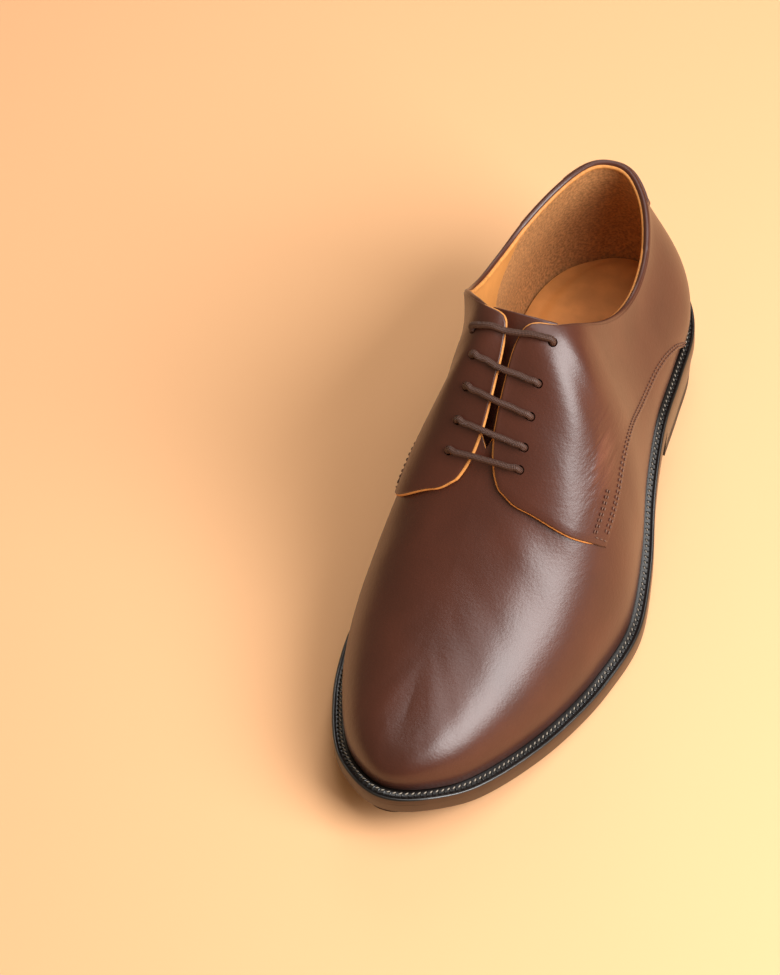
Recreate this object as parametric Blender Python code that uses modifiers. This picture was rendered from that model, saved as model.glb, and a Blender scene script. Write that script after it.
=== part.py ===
"""Derby shoe, left foot: leather upper, tongue, laces, insole, welt, outsole and stacked heel.

Metres, +Z up. The toe points to -Y and the outer (lateral) side is +X. The floor is z = 0 and the
origin is the middle of the heel's tread on the floor.

A place on the shoe has a side (1 lateral, -1 medial), a turn (0 at the back of the heel, 1 at the
tip of the toe, along the edge of the sole) and a height along a rib that climbs from the sole to
the top line or to the ridge of the vamp. A station is a share of the length from the heel.
"""

import math

import bmesh
import bpy
import numpy as np
from mathutils import Matrix, Vector

# Sole and heel
LENGTH = 0.280
BALL_WIDTH = 0.107
HEEL_HEIGHT = 0.0205
HEEL_CENTRE = 0.125
HEEL_BREAST = 0.270
BREAST_HOLLOW = 0.0025
TOP_PIECE = 0.0060
HEEL_TAPER = 0.0016
HEEL_INSET = 0.0006
OUTSOLE = 0.0052
OUTSOLE_ROUND = 0.0008
WELT = 0.0033
WELT_ROUND = 0.0007
MARGIN_FORE = 0.0050
MARGIN_HEEL = 0.0042
SEAT_UNDER_INSOLE = 0.0060
TOE_SPRING = 0.0150
INSOLE = 0.0025
INSOLE_CLEAR = 0.0008

# Upper
INSTEP_HEIGHT = 0.1215
COUNTER_HEIGHT = 0.0935
WALL = 0.0016
OVERLAY = 0.0012
FLAP_LIFT = 0.0012
FLAP_EDGE = 0.0012
EYELET_RADIUS = 0.0020
EYELET_INSET = 0.0135
EYELET_CUT = 0.0120
TONGUE_WALL = 0.0016
TONGUE_HALF = 0.0185
TONGUE_RADIUS = 0.0235
TONGUE_TOP = 0.436
TONGUE_END = 0.634
LACE_RADIUS = 0.0013
LACE_SPACING = 0.0024
LACE_UNDER = 0.0009
TONGUE_EASE = 0.0008
GAP = 0.0003

# Fineness of the surfaces
QUARTER_COLUMNS = 22
VAMP_COLUMNS = 17
WING_ROWS = 3
UPPER_ROWS = 9
SOLE_ROWS = 44

OUTLINE = (
    # station, lateral half width and medial half width as shares of the ball width
    (0.00, 0.000, 0.000),
    (0.02, 0.157, 0.157),
    (0.06, 0.268, 0.273),
    (0.12, 0.338, 0.340),
    (0.20, 0.361, 0.352),
    (0.30, 0.384, 0.305),
    (0.40, 0.437, 0.275),
    (0.50, 0.512, 0.310),
    (0.60, 0.555, 0.396),
    (0.70, 0.516, 0.444),
    (0.80, 0.435, 0.415),
    (0.88, 0.341, 0.345),
    (0.94, 0.243, 0.262),
    (0.98, 0.130, 0.158),
    (1.00, -0.020, 0.020),
)
TREAD = (
    # station, share of the heel height, share of the toe spring
    (0.00, 1.000, 0.000),
    (0.27, 1.000, 0.000),
    (0.36, 0.820, 0.000),
    (0.46, 0.360, 0.000),
    (0.54, 0.080, 0.000),
    (0.60, 0.000, 0.000),
    (0.69, 0.000, 0.000),
    (0.78, 0.000, 0.110),
    (0.86, 0.000, 0.340),
    (0.93, 0.000, 0.620),
    (1.00, 0.000, 1.000),
)
MARGIN = (
    # turn, share of the way from the heel's margin to the forepart's
    (0.00, 0.0),
    (0.30, 0.0),
    (0.45, 0.2),
    (0.60, 1.0),
    (1.00, 1.0),
)
TOPLINE = (
    # turn, station, lateral and medial half width over the ball width,
    # share of the instep height in the reference height, lateral and medial height over that reference
    (0.000, 0.045, -0.040, 0.040, 0.0, 1.000, 1.000),
    (0.100, 0.059, 0.050, 0.138, 0.0, 0.984, 0.994),
    (0.200, 0.109, 0.141, 0.234, 0.0, 0.936, 0.938),
    (0.270, 0.165, 0.187, 0.295, 0.0, 0.881, 0.890),
    (0.330, 0.225, 0.203, 0.325, 0.0, 0.864, 0.878),
    (0.380, 0.285, 0.203, 0.335, 0.3, 0.847, 0.843),
    (0.420, 0.340, 0.196, 0.323, 0.7, 0.859, 0.845),
    (0.450, 0.382, 0.183, 0.285, 1.0, 0.888, 0.893),
    (0.475, 0.412, 0.158, 0.222, 1.0, 0.953, 0.958),
    (0.497, 0.433, 0.108, 0.156, 1.0, 0.988, 0.995),
    (0.515, 0.444, 0.030, 0.085, 1.0, 0.998, 1.003),
    (0.540, 0.468, -0.003, 0.063, 1.0, 0.962, 0.962),
    (0.570, 0.512, -0.009, 0.057, 1.0, 0.870, 0.870),
    (0.600, 0.556, -0.005, 0.061, 1.0, 0.768, 0.768),
    (0.620, 0.583, 0.001, 0.067, 1.0, 0.705, 0.705),
    (0.640, 0.607, 0.011, 0.077, 1.0, 0.652, 0.652),
)
RIDGE = (
    # turn, station, height over the instep height
    (0.420, 0.350, 1.180),
    (0.500, 0.425, 1.035),
    (0.560, 0.497, 0.905),
    (0.600, 0.556, 0.768),
    (0.620, 0.583, 0.705),
    (0.660, 0.625, 0.622),
    (0.720, 0.685, 0.530),
    (0.780, 0.737, 0.468),
    (0.840, 0.788, 0.420),
    (0.900, 0.836, 0.383),
    (0.950, 0.870, 0.358),
    (1.000, 0.892, 0.340),
)
CREST = (
    # station, height over the instep height, distance of the tongue's face under it (0 to 1)
    (0.400, 1.085, 1.0),
    (0.444, 1.003, 1.0),
    (0.468, 0.962, 1.0),
    (0.512, 0.870, 1.0),
    (0.556, 0.768, 1.0),
    (0.583, 0.705, 1.0),
    (0.607, 0.655, 0.7),
    (0.634, 0.606, 0.0),
    (0.685, 0.530, 0.0),
)
SHIFT = (
    # station, how far the ridge stands to the lateral side over the ball width
    (0.45, -0.033),
    (0.62, -0.033),
    (0.80, -0.024),
    (1.00, -0.018),
)
RIBS = (
    # turn, rise, lateral lean, medial lean, lateral reach, medial reach, drop
    (0.000, 0.40, 0.056, 0.056, 0.10, 0.10, 0.30),
    (0.200, 0.40, 0.058, 0.056, 0.15, 0.15, 0.30),
    (0.340, 0.42, 0.046, 0.060, 0.18, 0.25, 0.35),
    (0.420, 0.42, 0.045, 0.080, 0.24, 0.40, 0.34),
    (0.475, 0.42, 0.045, 0.105, 0.40, 0.64, 0.14),
    (0.515, 0.42, 0.045, 0.130, 0.47, 0.70, 0.02),
    (0.570, 0.45, 0.035, 0.100, 0.52, 0.69, -0.02),
    (0.640, 0.50, 0.050, 0.060, 0.50, 0.56, 0.00),
    (0.700, 0.50, 0.042, 0.056, 0.52, 0.54, 0.00),
    (0.800, 0.58, 0.030, 0.033, 0.58, 0.58, 0.00),
    (0.900, 0.70, 0.020, 0.020, 0.62, 0.62, 0.00),
    (1.000, 0.74, 0.015, 0.015, 0.65, 0.65, 0.00),
)
SEAM = (
    # turn, height along the rib of the quarter's lower edge
    (0.000, 0.000),
    (0.250, 0.000),
    (0.270, 0.100),
    (0.295, 0.230),
    (0.330, 0.335),
    (0.370, 0.390),
    (0.420, 0.425),
    (0.475, 0.410),
    (0.530, 0.385),
    (0.577, 0.385),
)
FRONT = (
    # height in the flap, turn of the quarter's front edge
    (0.00, 0.577),
    (0.30, 0.607),
    (0.60, 0.624),
    (0.80, 0.631),
    (0.88, 0.631),
    (0.94, 0.626),
    (0.98, 0.615),
    (1.00, 0.603),
)
CREASE = (
    # height in the flap, turn at which the vamp passes under the flap's front edge
    (0.00, 0.577),
    (0.30, 0.597),
    (0.60, 0.612),
    (0.80, 0.619),
    (0.90, 0.619),
    (1.00, 0.613),
)
EYELETS = (
    # turn of the lateral and of the medial hole from the top, share of the inset of each
    (0.513, 0.506, 0.68, 0.78),
    (0.551, 0.536, 1.00, 1.00),
    (0.573, 0.560, 1.00, 1.00),
    (0.593, 0.583, 1.00, 1.00),
    (0.608, 0.604, 1.00, 1.00),
)

BACK = HEEL_CENTRE * LENGTH
TIP = FRONT[0][1]
TIP_HEIGHT = SEAM[-1][1]
LACE_LEVEL = -WALL - GAP - LACE_RADIUS - LACE_UNDER
TONGUE_DEPTH = TONGUE_EASE + LACE_RADIUS - LACE_LEVEL
OUTLINE_TURNS = tuple((math.acos(1 - 2 * s) / math.pi, a, b) for s, a, b in OUTLINE)


def hermite(x, y, slope, at):
    """Cubic through points with the given slopes."""
    at = np.clip(at, x[0], x[-1])
    i = np.clip(np.searchsorted(x, at) - 1, 0, len(x) - 2)
    step = x[i + 1] - x[i]
    t = (at - x[i]) / step
    ends = y[i] * (1 + 2 * t) * (1 - t) ** 2 + y[i + 1] * t * t * (3 - 2 * t)
    return ends + step * (slope[i] * t * (1 - t) ** 2 - slope[i + 1] * t * t * (1 - t))


def smooth(rows, column, at, level_ends=False):
    """A table's column as a rounded curve."""
    table = np.array(rows, float)
    x, y = table[:, 0], table[:, column]
    slope = np.gradient(y, x)
    if level_ends:
        slope[0] = slope[-1] = 0.0
    return hermite(x, y, slope, at)


def steady(rows, column, at):
    """A table's column as a curve that stays between its rows."""
    table = np.array(rows, float)
    x, y = table[:, 0], table[:, column]
    rate = np.diff(y) / np.diff(x)
    slope = np.zeros(len(x))
    same = np.nonzero(rate[1:] * rate[:-1] > 0)[0]
    slope[same + 1] = 2 * rate[same + 1] * rate[same] / (rate[same + 1] + rate[same])
    return hermite(x, y, slope, at)


def ramp(x):
    x = np.clip(x, 0.0, 1.0)
    return x * x * (3 - 2 * x)


def of_side(side, lateral, medial):
    return np.where(side > 0, lateral, medial)


def around(side, turn):
    """Past either end of a side, the other side begins."""
    over = (turn < 0) | (turn > 1)
    turn = np.where(turn < 0, -turn, np.where(turn > 1, 2 - turn, turn))
    return np.where(over, -side, side), turn


def edge(side, turn):
    """Edge of the sole, seen from above."""
    side, turn = around(side, turn)
    half = of_side(side, smooth(OUTLINE_TURNS, 1, turn), smooth(OUTLINE_TURNS, 2, turn))
    station = (1 - np.cos(np.pi * turn)) / 2
    return np.stack([side * half * BALL_WIDTH, BACK - station * LENGTH], -1)


def plan(side, turn, inset):
    """Edge of the sole moved inwards."""
    along = edge(side, turn + 0.002) - edge(side, turn - 0.002)
    along = along / np.linalg.norm(along, axis=-1, keepdims=True)
    inward = np.stack([along[..., 1], -along[..., 0]], -1) * np.asarray(side)[..., None]
    return edge(side, turn) + inward * np.asarray(inset)[..., None]


def tread(y):
    """Height of the outsole's underside."""
    station = (BACK - y) / LENGTH
    return HEEL_HEIGHT * steady(TREAD, 1, station) + TOE_SPRING * steady(TREAD, 2, station)


def margin(turn):
    """Width of welt that shows beside the upper."""
    return MARGIN_HEEL + (MARGIN_FORE - MARGIN_HEEL) * steady(MARGIN, 1, turn)


def foot(side, turn):
    """Where a rib starts, just above the welt."""
    xy = plan(side, turn, margin(turn))
    z = tread(xy[..., 1]) + OUTSOLE + WELT + 2 * GAP
    return np.concatenate([xy, z[..., None]], -1)


def ridge(turn):
    """Where a rib of the vamp ends, on the line over the instep and the toes."""
    station = smooth(RIDGE, 1, turn, True)
    x = smooth(SHIFT, 1, station) * BALL_WIDTH
    return np.stack([x, BACK - station * LENGTH, INSTEP_HEIGHT * smooth(RIDGE, 2, turn, True)], -1)


def topline(side, turn):
    """Where a rib of the quarter ends, on the collar and then on the facing's edge."""
    station = smooth(TOPLINE, 1, turn, True)
    half = of_side(side, smooth(TOPLINE, 2, turn), smooth(TOPLINE, 3, turn))
    share = smooth(TOPLINE, 4, turn, True)
    reference = COUNTER_HEIGHT + (INSTEP_HEIGHT - COUNTER_HEIGHT) * share
    height = of_side(side, smooth(TOPLINE, 5, turn, True), smooth(TOPLINE, 6, turn, True))
    return np.stack([side * half * BALL_WIDTH, BACK - station * LENGTH, reference * height], -1)


def base(side, turn, height, vamp=0.0):
    """Surface of the last: a rib is a cubic from its foot to its top. vamp blends quarter into vamp."""
    given = (side, turn, height, vamp)
    side, turn, height, vamp = np.broadcast_arrays(*(np.asarray(x, float) for x in given))
    side, turn = around(side, turn)
    start = foot(side, turn)
    outside = edge(side, turn) - plan(side, turn, np.full_like(turn, 0.001))
    outside = outside / np.linalg.norm(outside, axis=-1, keepdims=True)
    lean = of_side(side, smooth(RIBS, 2, turn), smooth(RIBS, 3, turn)) * BALL_WIDTH
    reach = of_side(side, smooth(RIBS, 4, turn), smooth(RIBS, 5, turn))
    on_ridge = np.maximum(turn, RIDGE[0][0] + 0.04)
    forward = ridge(on_ridge) - ridge(on_ridge - 0.02)
    forward = forward / np.linalg.norm(forward, axis=-1, keepdims=True)
    turned = ramp((turn - 0.50) / 0.07)[..., None]
    level = forward * turned + (1 - turned) * [0.0, -1.0, 0.0]
    v = height[..., None]
    made = 0.0
    for end, ahead, share in ((topline(side, turn), level, 1 - vamp), (ridge(turn), forward, vamp)):
        rise = end[..., 2] - start[..., 2]
        span = start[..., :2] - end[..., :2]
        low, high = start.copy(), end.copy()
        low[..., :2] += outside * lean[..., None]
        low[..., 2] += smooth(RIBS, 1, turn) * rise
        high[..., 0] += reach * span[..., 0]
        high += ahead * (-reach * span[..., 1])[..., None]
        high[..., 2] -= smooth(RIBS, 6, turn) * rise
        rib = start * (1 - v) ** 3 + 3 * low * v * (1 - v) ** 2 + 3 * high * v * v * (1 - v) + end * v**3
        made = made + rib * share[..., None]
    return made


def outward(side, turn, height, vamp=0.0):
    """Unit normal of the last, level at the foot and upright across the ridge."""
    step = 0.003
    inner = np.clip(height, 0.01, 0.985)
    turn = np.asarray(turn, float)
    along = base(side, turn + step, inner, vamp) - base(side, turn - step, inner, vamp)
    up = base(side, turn, inner + step, vamp) - base(side, turn, inner - step, vamp)
    normal = np.cross(along, up) * -np.asarray(side, float)[..., None]
    normal[..., 2] = np.where(height <= 0.0, 0.0, normal[..., 2])
    normal[..., 0] = np.where((np.asarray(height) >= 1.0) & (np.asarray(vamp) >= 1.0), 0.0, normal[..., 0])
    return normal / np.linalg.norm(normal, axis=-1, keepdims=True)


def lifted(side, turn, height, offset, vamp=0.0):
    """A point of the last moved out along its normal."""
    return base(side, turn, height, vamp) + outward(side, turn, height, vamp) * np.asarray(offset)[..., None]


def quarter_offset(u, w):
    """Height of the quarter's face over the last: it lifts towards the flap's front edge."""
    return OVERLAY + FLAP_LIFT * ramp((u - 0.84) / 0.16) * ramp(w / 0.3)


def blend(u, w):
    """How far the quarter follows the vamp's surface, towards the tip of the flap."""
    return ramp((u - 0.7) / 0.3) * (1 - ramp(w / 0.5))


def wing_column(side, column, x):
    """Vamp below the quarter's seam: outer and inner point of one column at shares x of its height."""
    side = np.full_like(x, side)
    zero = np.zeros_like(x)
    if column <= QUARTER_COLUMNS + 2:
        u = min(column / QUARTER_COLUMNS, 1.0)
        turn = zero + u * TIP
        height = steady(SEAM, 1, turn) * x
        vamp = zero + blend(u, 0.0)
    else:
        share = (column - QUARTER_COLUMNS - 2) / VAMP_COLUMNS
        turn = zero + TIP + (1 - TIP) * share
        height = TIP_HEIGHT * x
        vamp = zero + 1.0
    return lifted(side, turn, height, zero, vamp), lifted(side, turn, height, zero - WALL, vamp)


def upper_column(side, column, w):
    """Above the seam: quarter, then the flap's edge and the crease under it, then the vamp."""
    side = np.full_like(w, side)
    front = steady(FRONT, 1, w)
    crease = steady(CREASE, 1, w)
    zero = np.zeros_like(w)
    if column <= QUARTER_COLUMNS:
        u = column / QUARTER_COLUMNS
        seam = steady(SEAM, 1, zero + u * TIP)
        height = seam + (1 - seam) * w
        outer = lifted(side, u * front, height, quarter_offset(u, w), blend(u, w))
        if column < QUARTER_COLUMNS:
            return outer, lifted(side, u * crease, height, zero - WALL, blend(u, w))
    height = TIP_HEIGHT + (1 - TIP_HEIGHT) * w
    inner = lifted(side, crease, height, zero - WALL, zero + 1.0)
    if column == QUARTER_COLUMNS:
        return outer, inner
    if column == QUARTER_COLUMNS + 1:
        lip = (quarter_offset(1.0, w) - FLAP_EDGE) * ramp(w / 0.3)
        return lifted(side, front, height, lip, blend(1.0, w)), inner
    share = (column - QUARTER_COLUMNS - 2) / VAMP_COLUMNS
    turn = crease + (1 - crease) * share
    vamp = zero + 1.0
    return lifted(side, turn, height, zero, vamp), lifted(side, turn, height, zero - WALL, vamp)


def skin_points(side):
    """Outer and inner points of one side of the upper, by column and row."""
    x = np.linspace(0, 1, WING_ROWS + 1)
    w = np.linspace(0, 1, UPPER_ROWS + 1)
    columns = []
    for column in range(QUARTER_COLUMNS + VAMP_COLUMNS + 3):
        below, above = wing_column(side, column, x), upper_column(side, column, w)
        columns.append([np.vstack([below[i], above[i]]) for i in (0, 1)])
    return np.array(columns)


def colour(code):
    """sRGB hex code as linear RGBA."""
    values = [int(code[i : i + 2], 16) / 255 for i in (1, 3, 5)]
    linear = [v / 12.92 if v < 0.04045 else ((v + 0.055) / 1.055) ** 2.4 for v in values]
    return (*linear, 1.0)


def material(name, code, roughness):
    made = bpy.data.materials.new(name)
    made.use_nodes = True
    shader = made.node_tree.nodes["Principled BSDF"]
    shader.inputs["Base Color"].default_value = colour(code)
    shader.inputs["Roughness"].default_value = roughness
    shader.inputs["Metallic"].default_value = 0.0
    return made


def add_object(name, bm, group, surface=None):
    """The bmesh as a named object, its faces turned out and shaded smooth."""
    bmesh.ops.recalc_face_normals(bm, faces=bm.faces)
    mesh = bpy.data.meshes.new(name)
    bm.to_mesh(mesh)
    bm.free()
    mesh.shade_smooth()
    mesh.set_sharp_from_angle(angle=math.radians(40))
    obj = bpy.data.objects.new(name, mesh)
    group.objects.link(obj)
    if surface:
        mesh.materials.append(surface)
    return obj


def add_bevel(obj, width):
    bevel = obj.modifiers.new("edge", "BEVEL")
    bevel.width = width
    bevel.segments = 1
    bevel.limit_method = "ANGLE"
    bevel.angle_limit = math.radians(50)


def place_grid(bm, outer, inner):
    """A grid whose points go to outer, and keep their inner places in a layer for later."""
    columns, rows = len(outer) - 1, len(outer[0]) - 1
    layer = bm.verts.layers.float_vector.get("inner") or bm.verts.layers.float_vector.new("inner")
    made = bmesh.ops.create_grid(bm, x_segments=columns, y_segments=rows, size=1.0)["verts"]
    for v in made:
        i = round((v.co.x + 1) / 2 * columns)
        j = round((v.co.y + 1) / 2 * rows)
        v.co = outer[i][j]
        v[layer] = Vector(inner[i][j])


def thicken(bm):
    """Welds the placed grids, copies them to their inner places and closes the rims."""
    layer = bm.verts.layers.float_vector["inner"]
    bmesh.ops.remove_doubles(bm, verts=bm.verts, dist=1e-6)
    made = bmesh.ops.extrude_face_region(bm, geom=bm.faces[:], use_keep_orig=True)["geom"]
    for v in made:
        if isinstance(v, bmesh.types.BMVert):
            v.co = v[layer]
    bmesh.ops.remove_doubles(bm, verts=bm.verts, dist=1e-6)
    bmesh.ops.dissolve_degenerate(bm, edges=bm.edges, dist=1e-7)


def slab(name, group, surface, top, bottom):
    """A closed plate between two grids of points."""
    bm = bmesh.new()
    place_grid(bm, top, bottom)
    thicken(bm)
    return add_object(name, bm, group, surface)


def across(inset, turns, z, columns=6, hollow=0.0):
    """Grid of points between the medial and the lateral edge, at the heights that z gives."""
    lateral = plan(np.ones_like(turns), turns, inset)
    medial = plan(-np.ones_like(turns), turns, inset)
    grid = []
    for i, turn in enumerate(turns):
        share = np.linspace(0, 1, columns + 1)[:, None]
        xy = medial[i] * (1 - share) + lateral[i] * share
        xy[:, 1:] += hollow * (turn / turns[-1]) ** 4 * (1 - (2 * share - 1) ** 2)
        grid.append(np.column_stack([xy, z(xy[:, 1])]))
    return grid


def add_sole(group, leather):
    turns = np.linspace(0, 1, SOLE_ROWS + 1)
    top = across(0 * turns, turns, lambda y: tread(y) + OUTSOLE)
    bottom = across(0 * turns, turns, tread)
    obj = slab("outsole", group, leather, top, bottom)
    add_bevel(obj, OUTSOLE_ROUND)


def add_heel(group, leather, rubber):
    turns = np.linspace(0, math.acos(1 - 2 * HEEL_BREAST) / math.pi, 13)
    level = [HEEL_HEIGHT - GAP, TOP_PIECE + GAP, TOP_PIECE, 0.0]
    inset = [HEEL_INSET, HEEL_INSET + HEEL_TAPER * 0.75, HEEL_INSET + HEEL_TAPER * 0.75, HEEL_INSET + HEEL_TAPER]
    sides = [
        across(0 * turns + i, turns, lambda y, z=z: 0 * y + z, 6, BREAST_HOLLOW) for i, z in zip(inset, level)
    ]
    stack = slab("heel_stack", group, leather, sides[0], sides[1])
    piece = slab("heel_top_piece", group, rubber, sides[2], sides[3])
    add_bevel(stack, OUTSOLE_ROUND / 2)
    add_bevel(piece, OUTSOLE_ROUND / 2)


def ring(inset, z, turns):
    """Closed loop of points at an inset: up the lateral side and back down the medial one."""
    lateral = plan(np.ones_like(turns), turns, inset)
    medial = plan(-np.ones_like(turns), turns, inset)[::-1]
    xy = np.vstack([lateral, medial[1:]])
    return np.column_stack([xy, z(xy[:, 1])])


def add_welt(group, leather):
    turns = np.linspace(0, 1, SOLE_ROWS + 1)
    inside = margin(turns) + WALL + SEAT_UNDER_INSOLE
    grids = []
    for z in (lambda y: tread(y) + OUTSOLE + GAP + WELT, lambda y: tread(y) + OUTSOLE + GAP):
        loops = [ring(0 * turns, z, turns), ring(inside / 2, z, turns), ring(inside, z, turns)]
        grids.append(np.stack(loops, 1))
    obj = slab("welt", group, leather, grids[0], grids[1])
    add_bevel(obj, WELT_ROUND)


def add_insole(group, leather):
    turns = np.linspace(0, 1, SOLE_ROWS + 1)
    inset = margin(turns) + WALL + INSOLE_CLEAR
    seat = OUTSOLE + WELT + 2 * GAP
    top = across(inset, turns, lambda y: tread(y) + seat + INSOLE)
    bottom = across(inset, turns, lambda y: tread(y) + seat)
    slab("insole", group, leather, top, bottom)


def eyelet(side, row):
    """Turn and height of an eyelet: a fixed distance along the rib from the facing's edge."""
    turn, share = EYELETS[row][::2] if side > 0 else EYELETS[row][1::2]
    heights = np.linspace(0.6, 1.0, 81)
    points = base(np.full_like(heights, side), np.full_like(heights, turn), heights)
    steps = np.linalg.norm(np.diff(points, axis=0), axis=1)
    left = np.append(np.cumsum(steps[::-1])[::-1], 0.0)
    return turn, float(np.interp(-EYELET_INSET * share, -left, heights))


def facing_offset(turn, height):
    """Height of the quarter's face over the last at a turn and height near the facing's edge."""
    seam = steady(SEAM, 1, np.asarray(turn) * TIP / 0.63)
    w = (np.asarray(height) - seam) / (1 - seam)
    return quarter_offset(np.asarray(turn) / steady(FRONT, 1, w), w)


def add_eyelet_cutters(group):
    """Ten short cylinders along the upper's normals."""
    bm = bmesh.new()
    for side in (1, -1):
        for row in range(len(EYELETS)):
            turn, height = eyelet(side, row)
            at = Vector(base(side, turn, height).tolist())
            normal = Vector(outward(np.array(float(side)), turn, height).tolist())
            turned = normal.to_track_quat("Z", "Y").to_matrix().to_4x4()
            bmesh.ops.create_cone(
                bm,
                cap_ends=True,
                segments=10,
                radius1=EYELET_RADIUS,
                radius2=EYELET_RADIUS,
                depth=EYELET_CUT,
                matrix=Matrix.Translation(at) @ turned,
            )
    cutter = add_object("eyelet_cutters", bm, group)
    cutter.hide_render = True
    cutter.display_type = "WIRE"
    return cutter


def add_upper(group, leather, cutter):
    bm = bmesh.new()
    for side in (1, -1):
        columns = skin_points(side)
        place_grid(bm, columns[:, 0], columns[:, 1])
    thicken(bm)
    upper = add_object("upper", bm, group, leather)
    holes = upper.modifiers.new("eyelets", "BOOLEAN")
    holes.operation = "DIFFERENCE"
    holes.solver = "EXACT"
    holes.object = cutter


def tongue_face(station, depth_more, angles):
    """One arc of the tongue, hung under the crest of the facings."""
    e = 0.01
    z = INSTEP_HEIGHT * smooth(CREST, 1, station)
    slope = INSTEP_HEIGHT * (smooth(CREST, 1, station + e) - smooth(CREST, 1, station - e)) / (2 * e * LENGTH)
    down = np.array([0.0, -slope, -1.0]) / math.hypot(slope, 1.0)
    shallow = WALL + 2 * GAP
    depth = shallow + (TONGUE_DEPTH - shallow) * steady(CREST, 2, station) + depth_more
    radius = TONGUE_RADIUS - depth_more
    centre = np.array([smooth(SHIFT, 1, station) * BALL_WIDTH, BACK - station * LENGTH, z]) + down * depth
    sag = radius * (1 - np.cos(angles))
    points = centre + np.outer(sag, down)
    points[:, 0] += radius * np.sin(angles)
    return points


def add_tongue(group, leather):
    stations = np.linspace(TONGUE_END, TONGUE_TOP, 15)
    angles = np.linspace(-1, 1, 9)
    top, bottom = [], []
    for i, station in enumerate(stations):
        half = TONGUE_HALF * (1 - 0.4 * (1 - i / 14) ** 4) * math.sqrt(1 - 0.35 * (i / 14) ** 6)
        arch = half / TONGUE_RADIUS
        top.append(tongue_face(station, 0.0, angles * arch))
        bottom.append(tongue_face(station, TONGUE_WALL, angles * arch))
    slab("tongue", group, leather, top, bottom)


def under(side, turn, height, level=LACE_LEVEL):
    """A point under the facing, where the inner wall turns from the quarter's into the vamp's."""
    crease = steady(CREASE, 1, (height - TIP_HEIGHT) / (1 - TIP_HEIGHT))
    vamp = np.clip((turn / crease - 1) * QUARTER_COLUMNS + 1, 0.0, 1.0)
    return lifted(np.array(float(side)), turn, height, level, vamp)


def through_hole(side, row, outwards):
    """Lace centres through one eyelet, from under the facing to over it."""
    turn, height = eyelet(side, row)
    over = facing_offset(turn, height)
    points = [under(side, turn, height)]
    for level, shift in ((-WALL / 2, 0.0), (over + GAP, 0.0), (over + LACE_RADIUS + GAP, LACE_RADIUS)):
        up = height + shift / EYELET_INSET * (1 - height)
        points.append(lifted(np.array(float(side)), turn, up, level))
    return points if outwards else points[::-1]


def crossing(side, row):
    """Turn at which the straight way between two eyelets crosses one facing's edge."""
    near, far = (base(way, *eyelet(way, row)) for way in (side, -side))
    turns = np.linspace(0.495, TOPLINE[-1][0], 80)
    edge_points = topline(np.full_like(turns, side), turns)
    share = (edge_points[:, 0] - near[0]) / (far[0] - near[0])
    ahead = edge_points[:, 1] - (near[1] + (far[1] - near[1]) * share)
    return float(np.interp(0.0, -ahead, turns))


def bar(side, row):
    """Lace centres over the facings, straight from one eyelet to the one across."""
    centres = []
    shares = np.array([0.30, 0.62, 1.0])
    for way in (side, -side):
        turn, height = eyelet(way, row)
        turns = turn + (crossing(way, row) - turn) * shares
        heights = height + (1 - height) * shares
        over = facing_offset(turns, heights) + LACE_RADIUS + GAP
        part = lifted(np.full(3, float(way)), turns, heights, over)
        centres.append(part if way == side else part[::-1])
    return [*centres[0], *centres[1]]


def lace_route():
    """The lace from under the lowest medial eyelet to under the top lateral one."""
    last = len(EYELETS) - 1
    side = -1
    route = [under(side, *eyelet(side, last))]
    for row in range(last, -1, -1):
        route += through_hole(side, row, True)[1:]
        route += bar(side, row)
        route += through_hole(-side, row, False)[:-1]
        side = -side
        if row:
            a, b = eyelet(side, row), eyelet(side, row - 1)
            for share in (0.0, 0.33, 0.67, 1.0):
                route.append(under(side, *(a[i] * (1 - share) + b[i] * share for i in (0, 1))))
    route.append(under(side, *eyelet(side, 0)))
    return np.array(route)


def rounded_route(points):
    """Evenly spaced points on a smooth curve through the route."""
    gaps = np.sqrt(np.linalg.norm(np.diff(points, axis=0), axis=1))
    at = np.concatenate([[0.0], np.cumsum(gaps)])
    slopes = np.stack([np.gradient(points[:, i], at) for i in range(3)], 1)
    fine = np.linspace(0, at[-1], 3000)
    dense = np.stack([hermite(at, points[:, i], slopes[:, i], fine) for i in range(3)], 1)
    run = np.concatenate([[0.0], np.cumsum(np.linalg.norm(np.diff(dense, axis=0), axis=1))])
    count = round(run[-1] / LACE_SPACING)
    even = np.linspace(0, run[-1], count + 1)
    return np.stack([np.interp(even, run, dense[:, i]) for i in range(3)], 1)


def add_laces(group, cotton):
    points = rounded_route(lace_route())
    data = bpy.data.curves.new("laces", "CURVE")
    data.dimensions = "3D"
    data.bevel_depth = LACE_RADIUS
    data.bevel_resolution = 2
    data.use_fill_caps = True
    spline = data.splines.new("POLY")
    spline.points.add(len(points) - 1)
    for point, place in zip(spline.points, points):
        point.co = (*place, 1.0)
    obj = bpy.data.objects.new("laces", data)
    data.materials.append(cotton)
    group.objects.link(obj)


def main():
    for obj in list(bpy.data.objects):
        bpy.data.objects.remove(obj, do_unlink=True)
    shoe = bpy.data.collections.new("derby_shoe")
    cutters = bpy.data.collections.new("cutters")
    for group in (shoe, cutters):
        bpy.context.scene.collection.children.link(group)
    calf = material("brown_calf", "#4A2A20", 0.38)
    edge_leather = material("dark_sole_edge", "#33231B", 0.45)
    black_leather = material("black_welt", "#1A1614", 0.40)
    rubber = material("dark_rubber", "#1E1916", 0.60)
    lining = material("tan_lining", "#C27A3C", 0.60)
    cotton = material("waxed_cotton", "#3A231C", 0.70)
    add_sole(shoe, edge_leather)
    add_heel(shoe, edge_leather, rubber)
    add_welt(shoe, black_leather)
    add_insole(shoe, lining)
    add_upper(shoe, calf, add_eyelet_cutters(cutters))
    add_tongue(shoe, calf)
    add_laces(shoe, cotton)


main()
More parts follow.
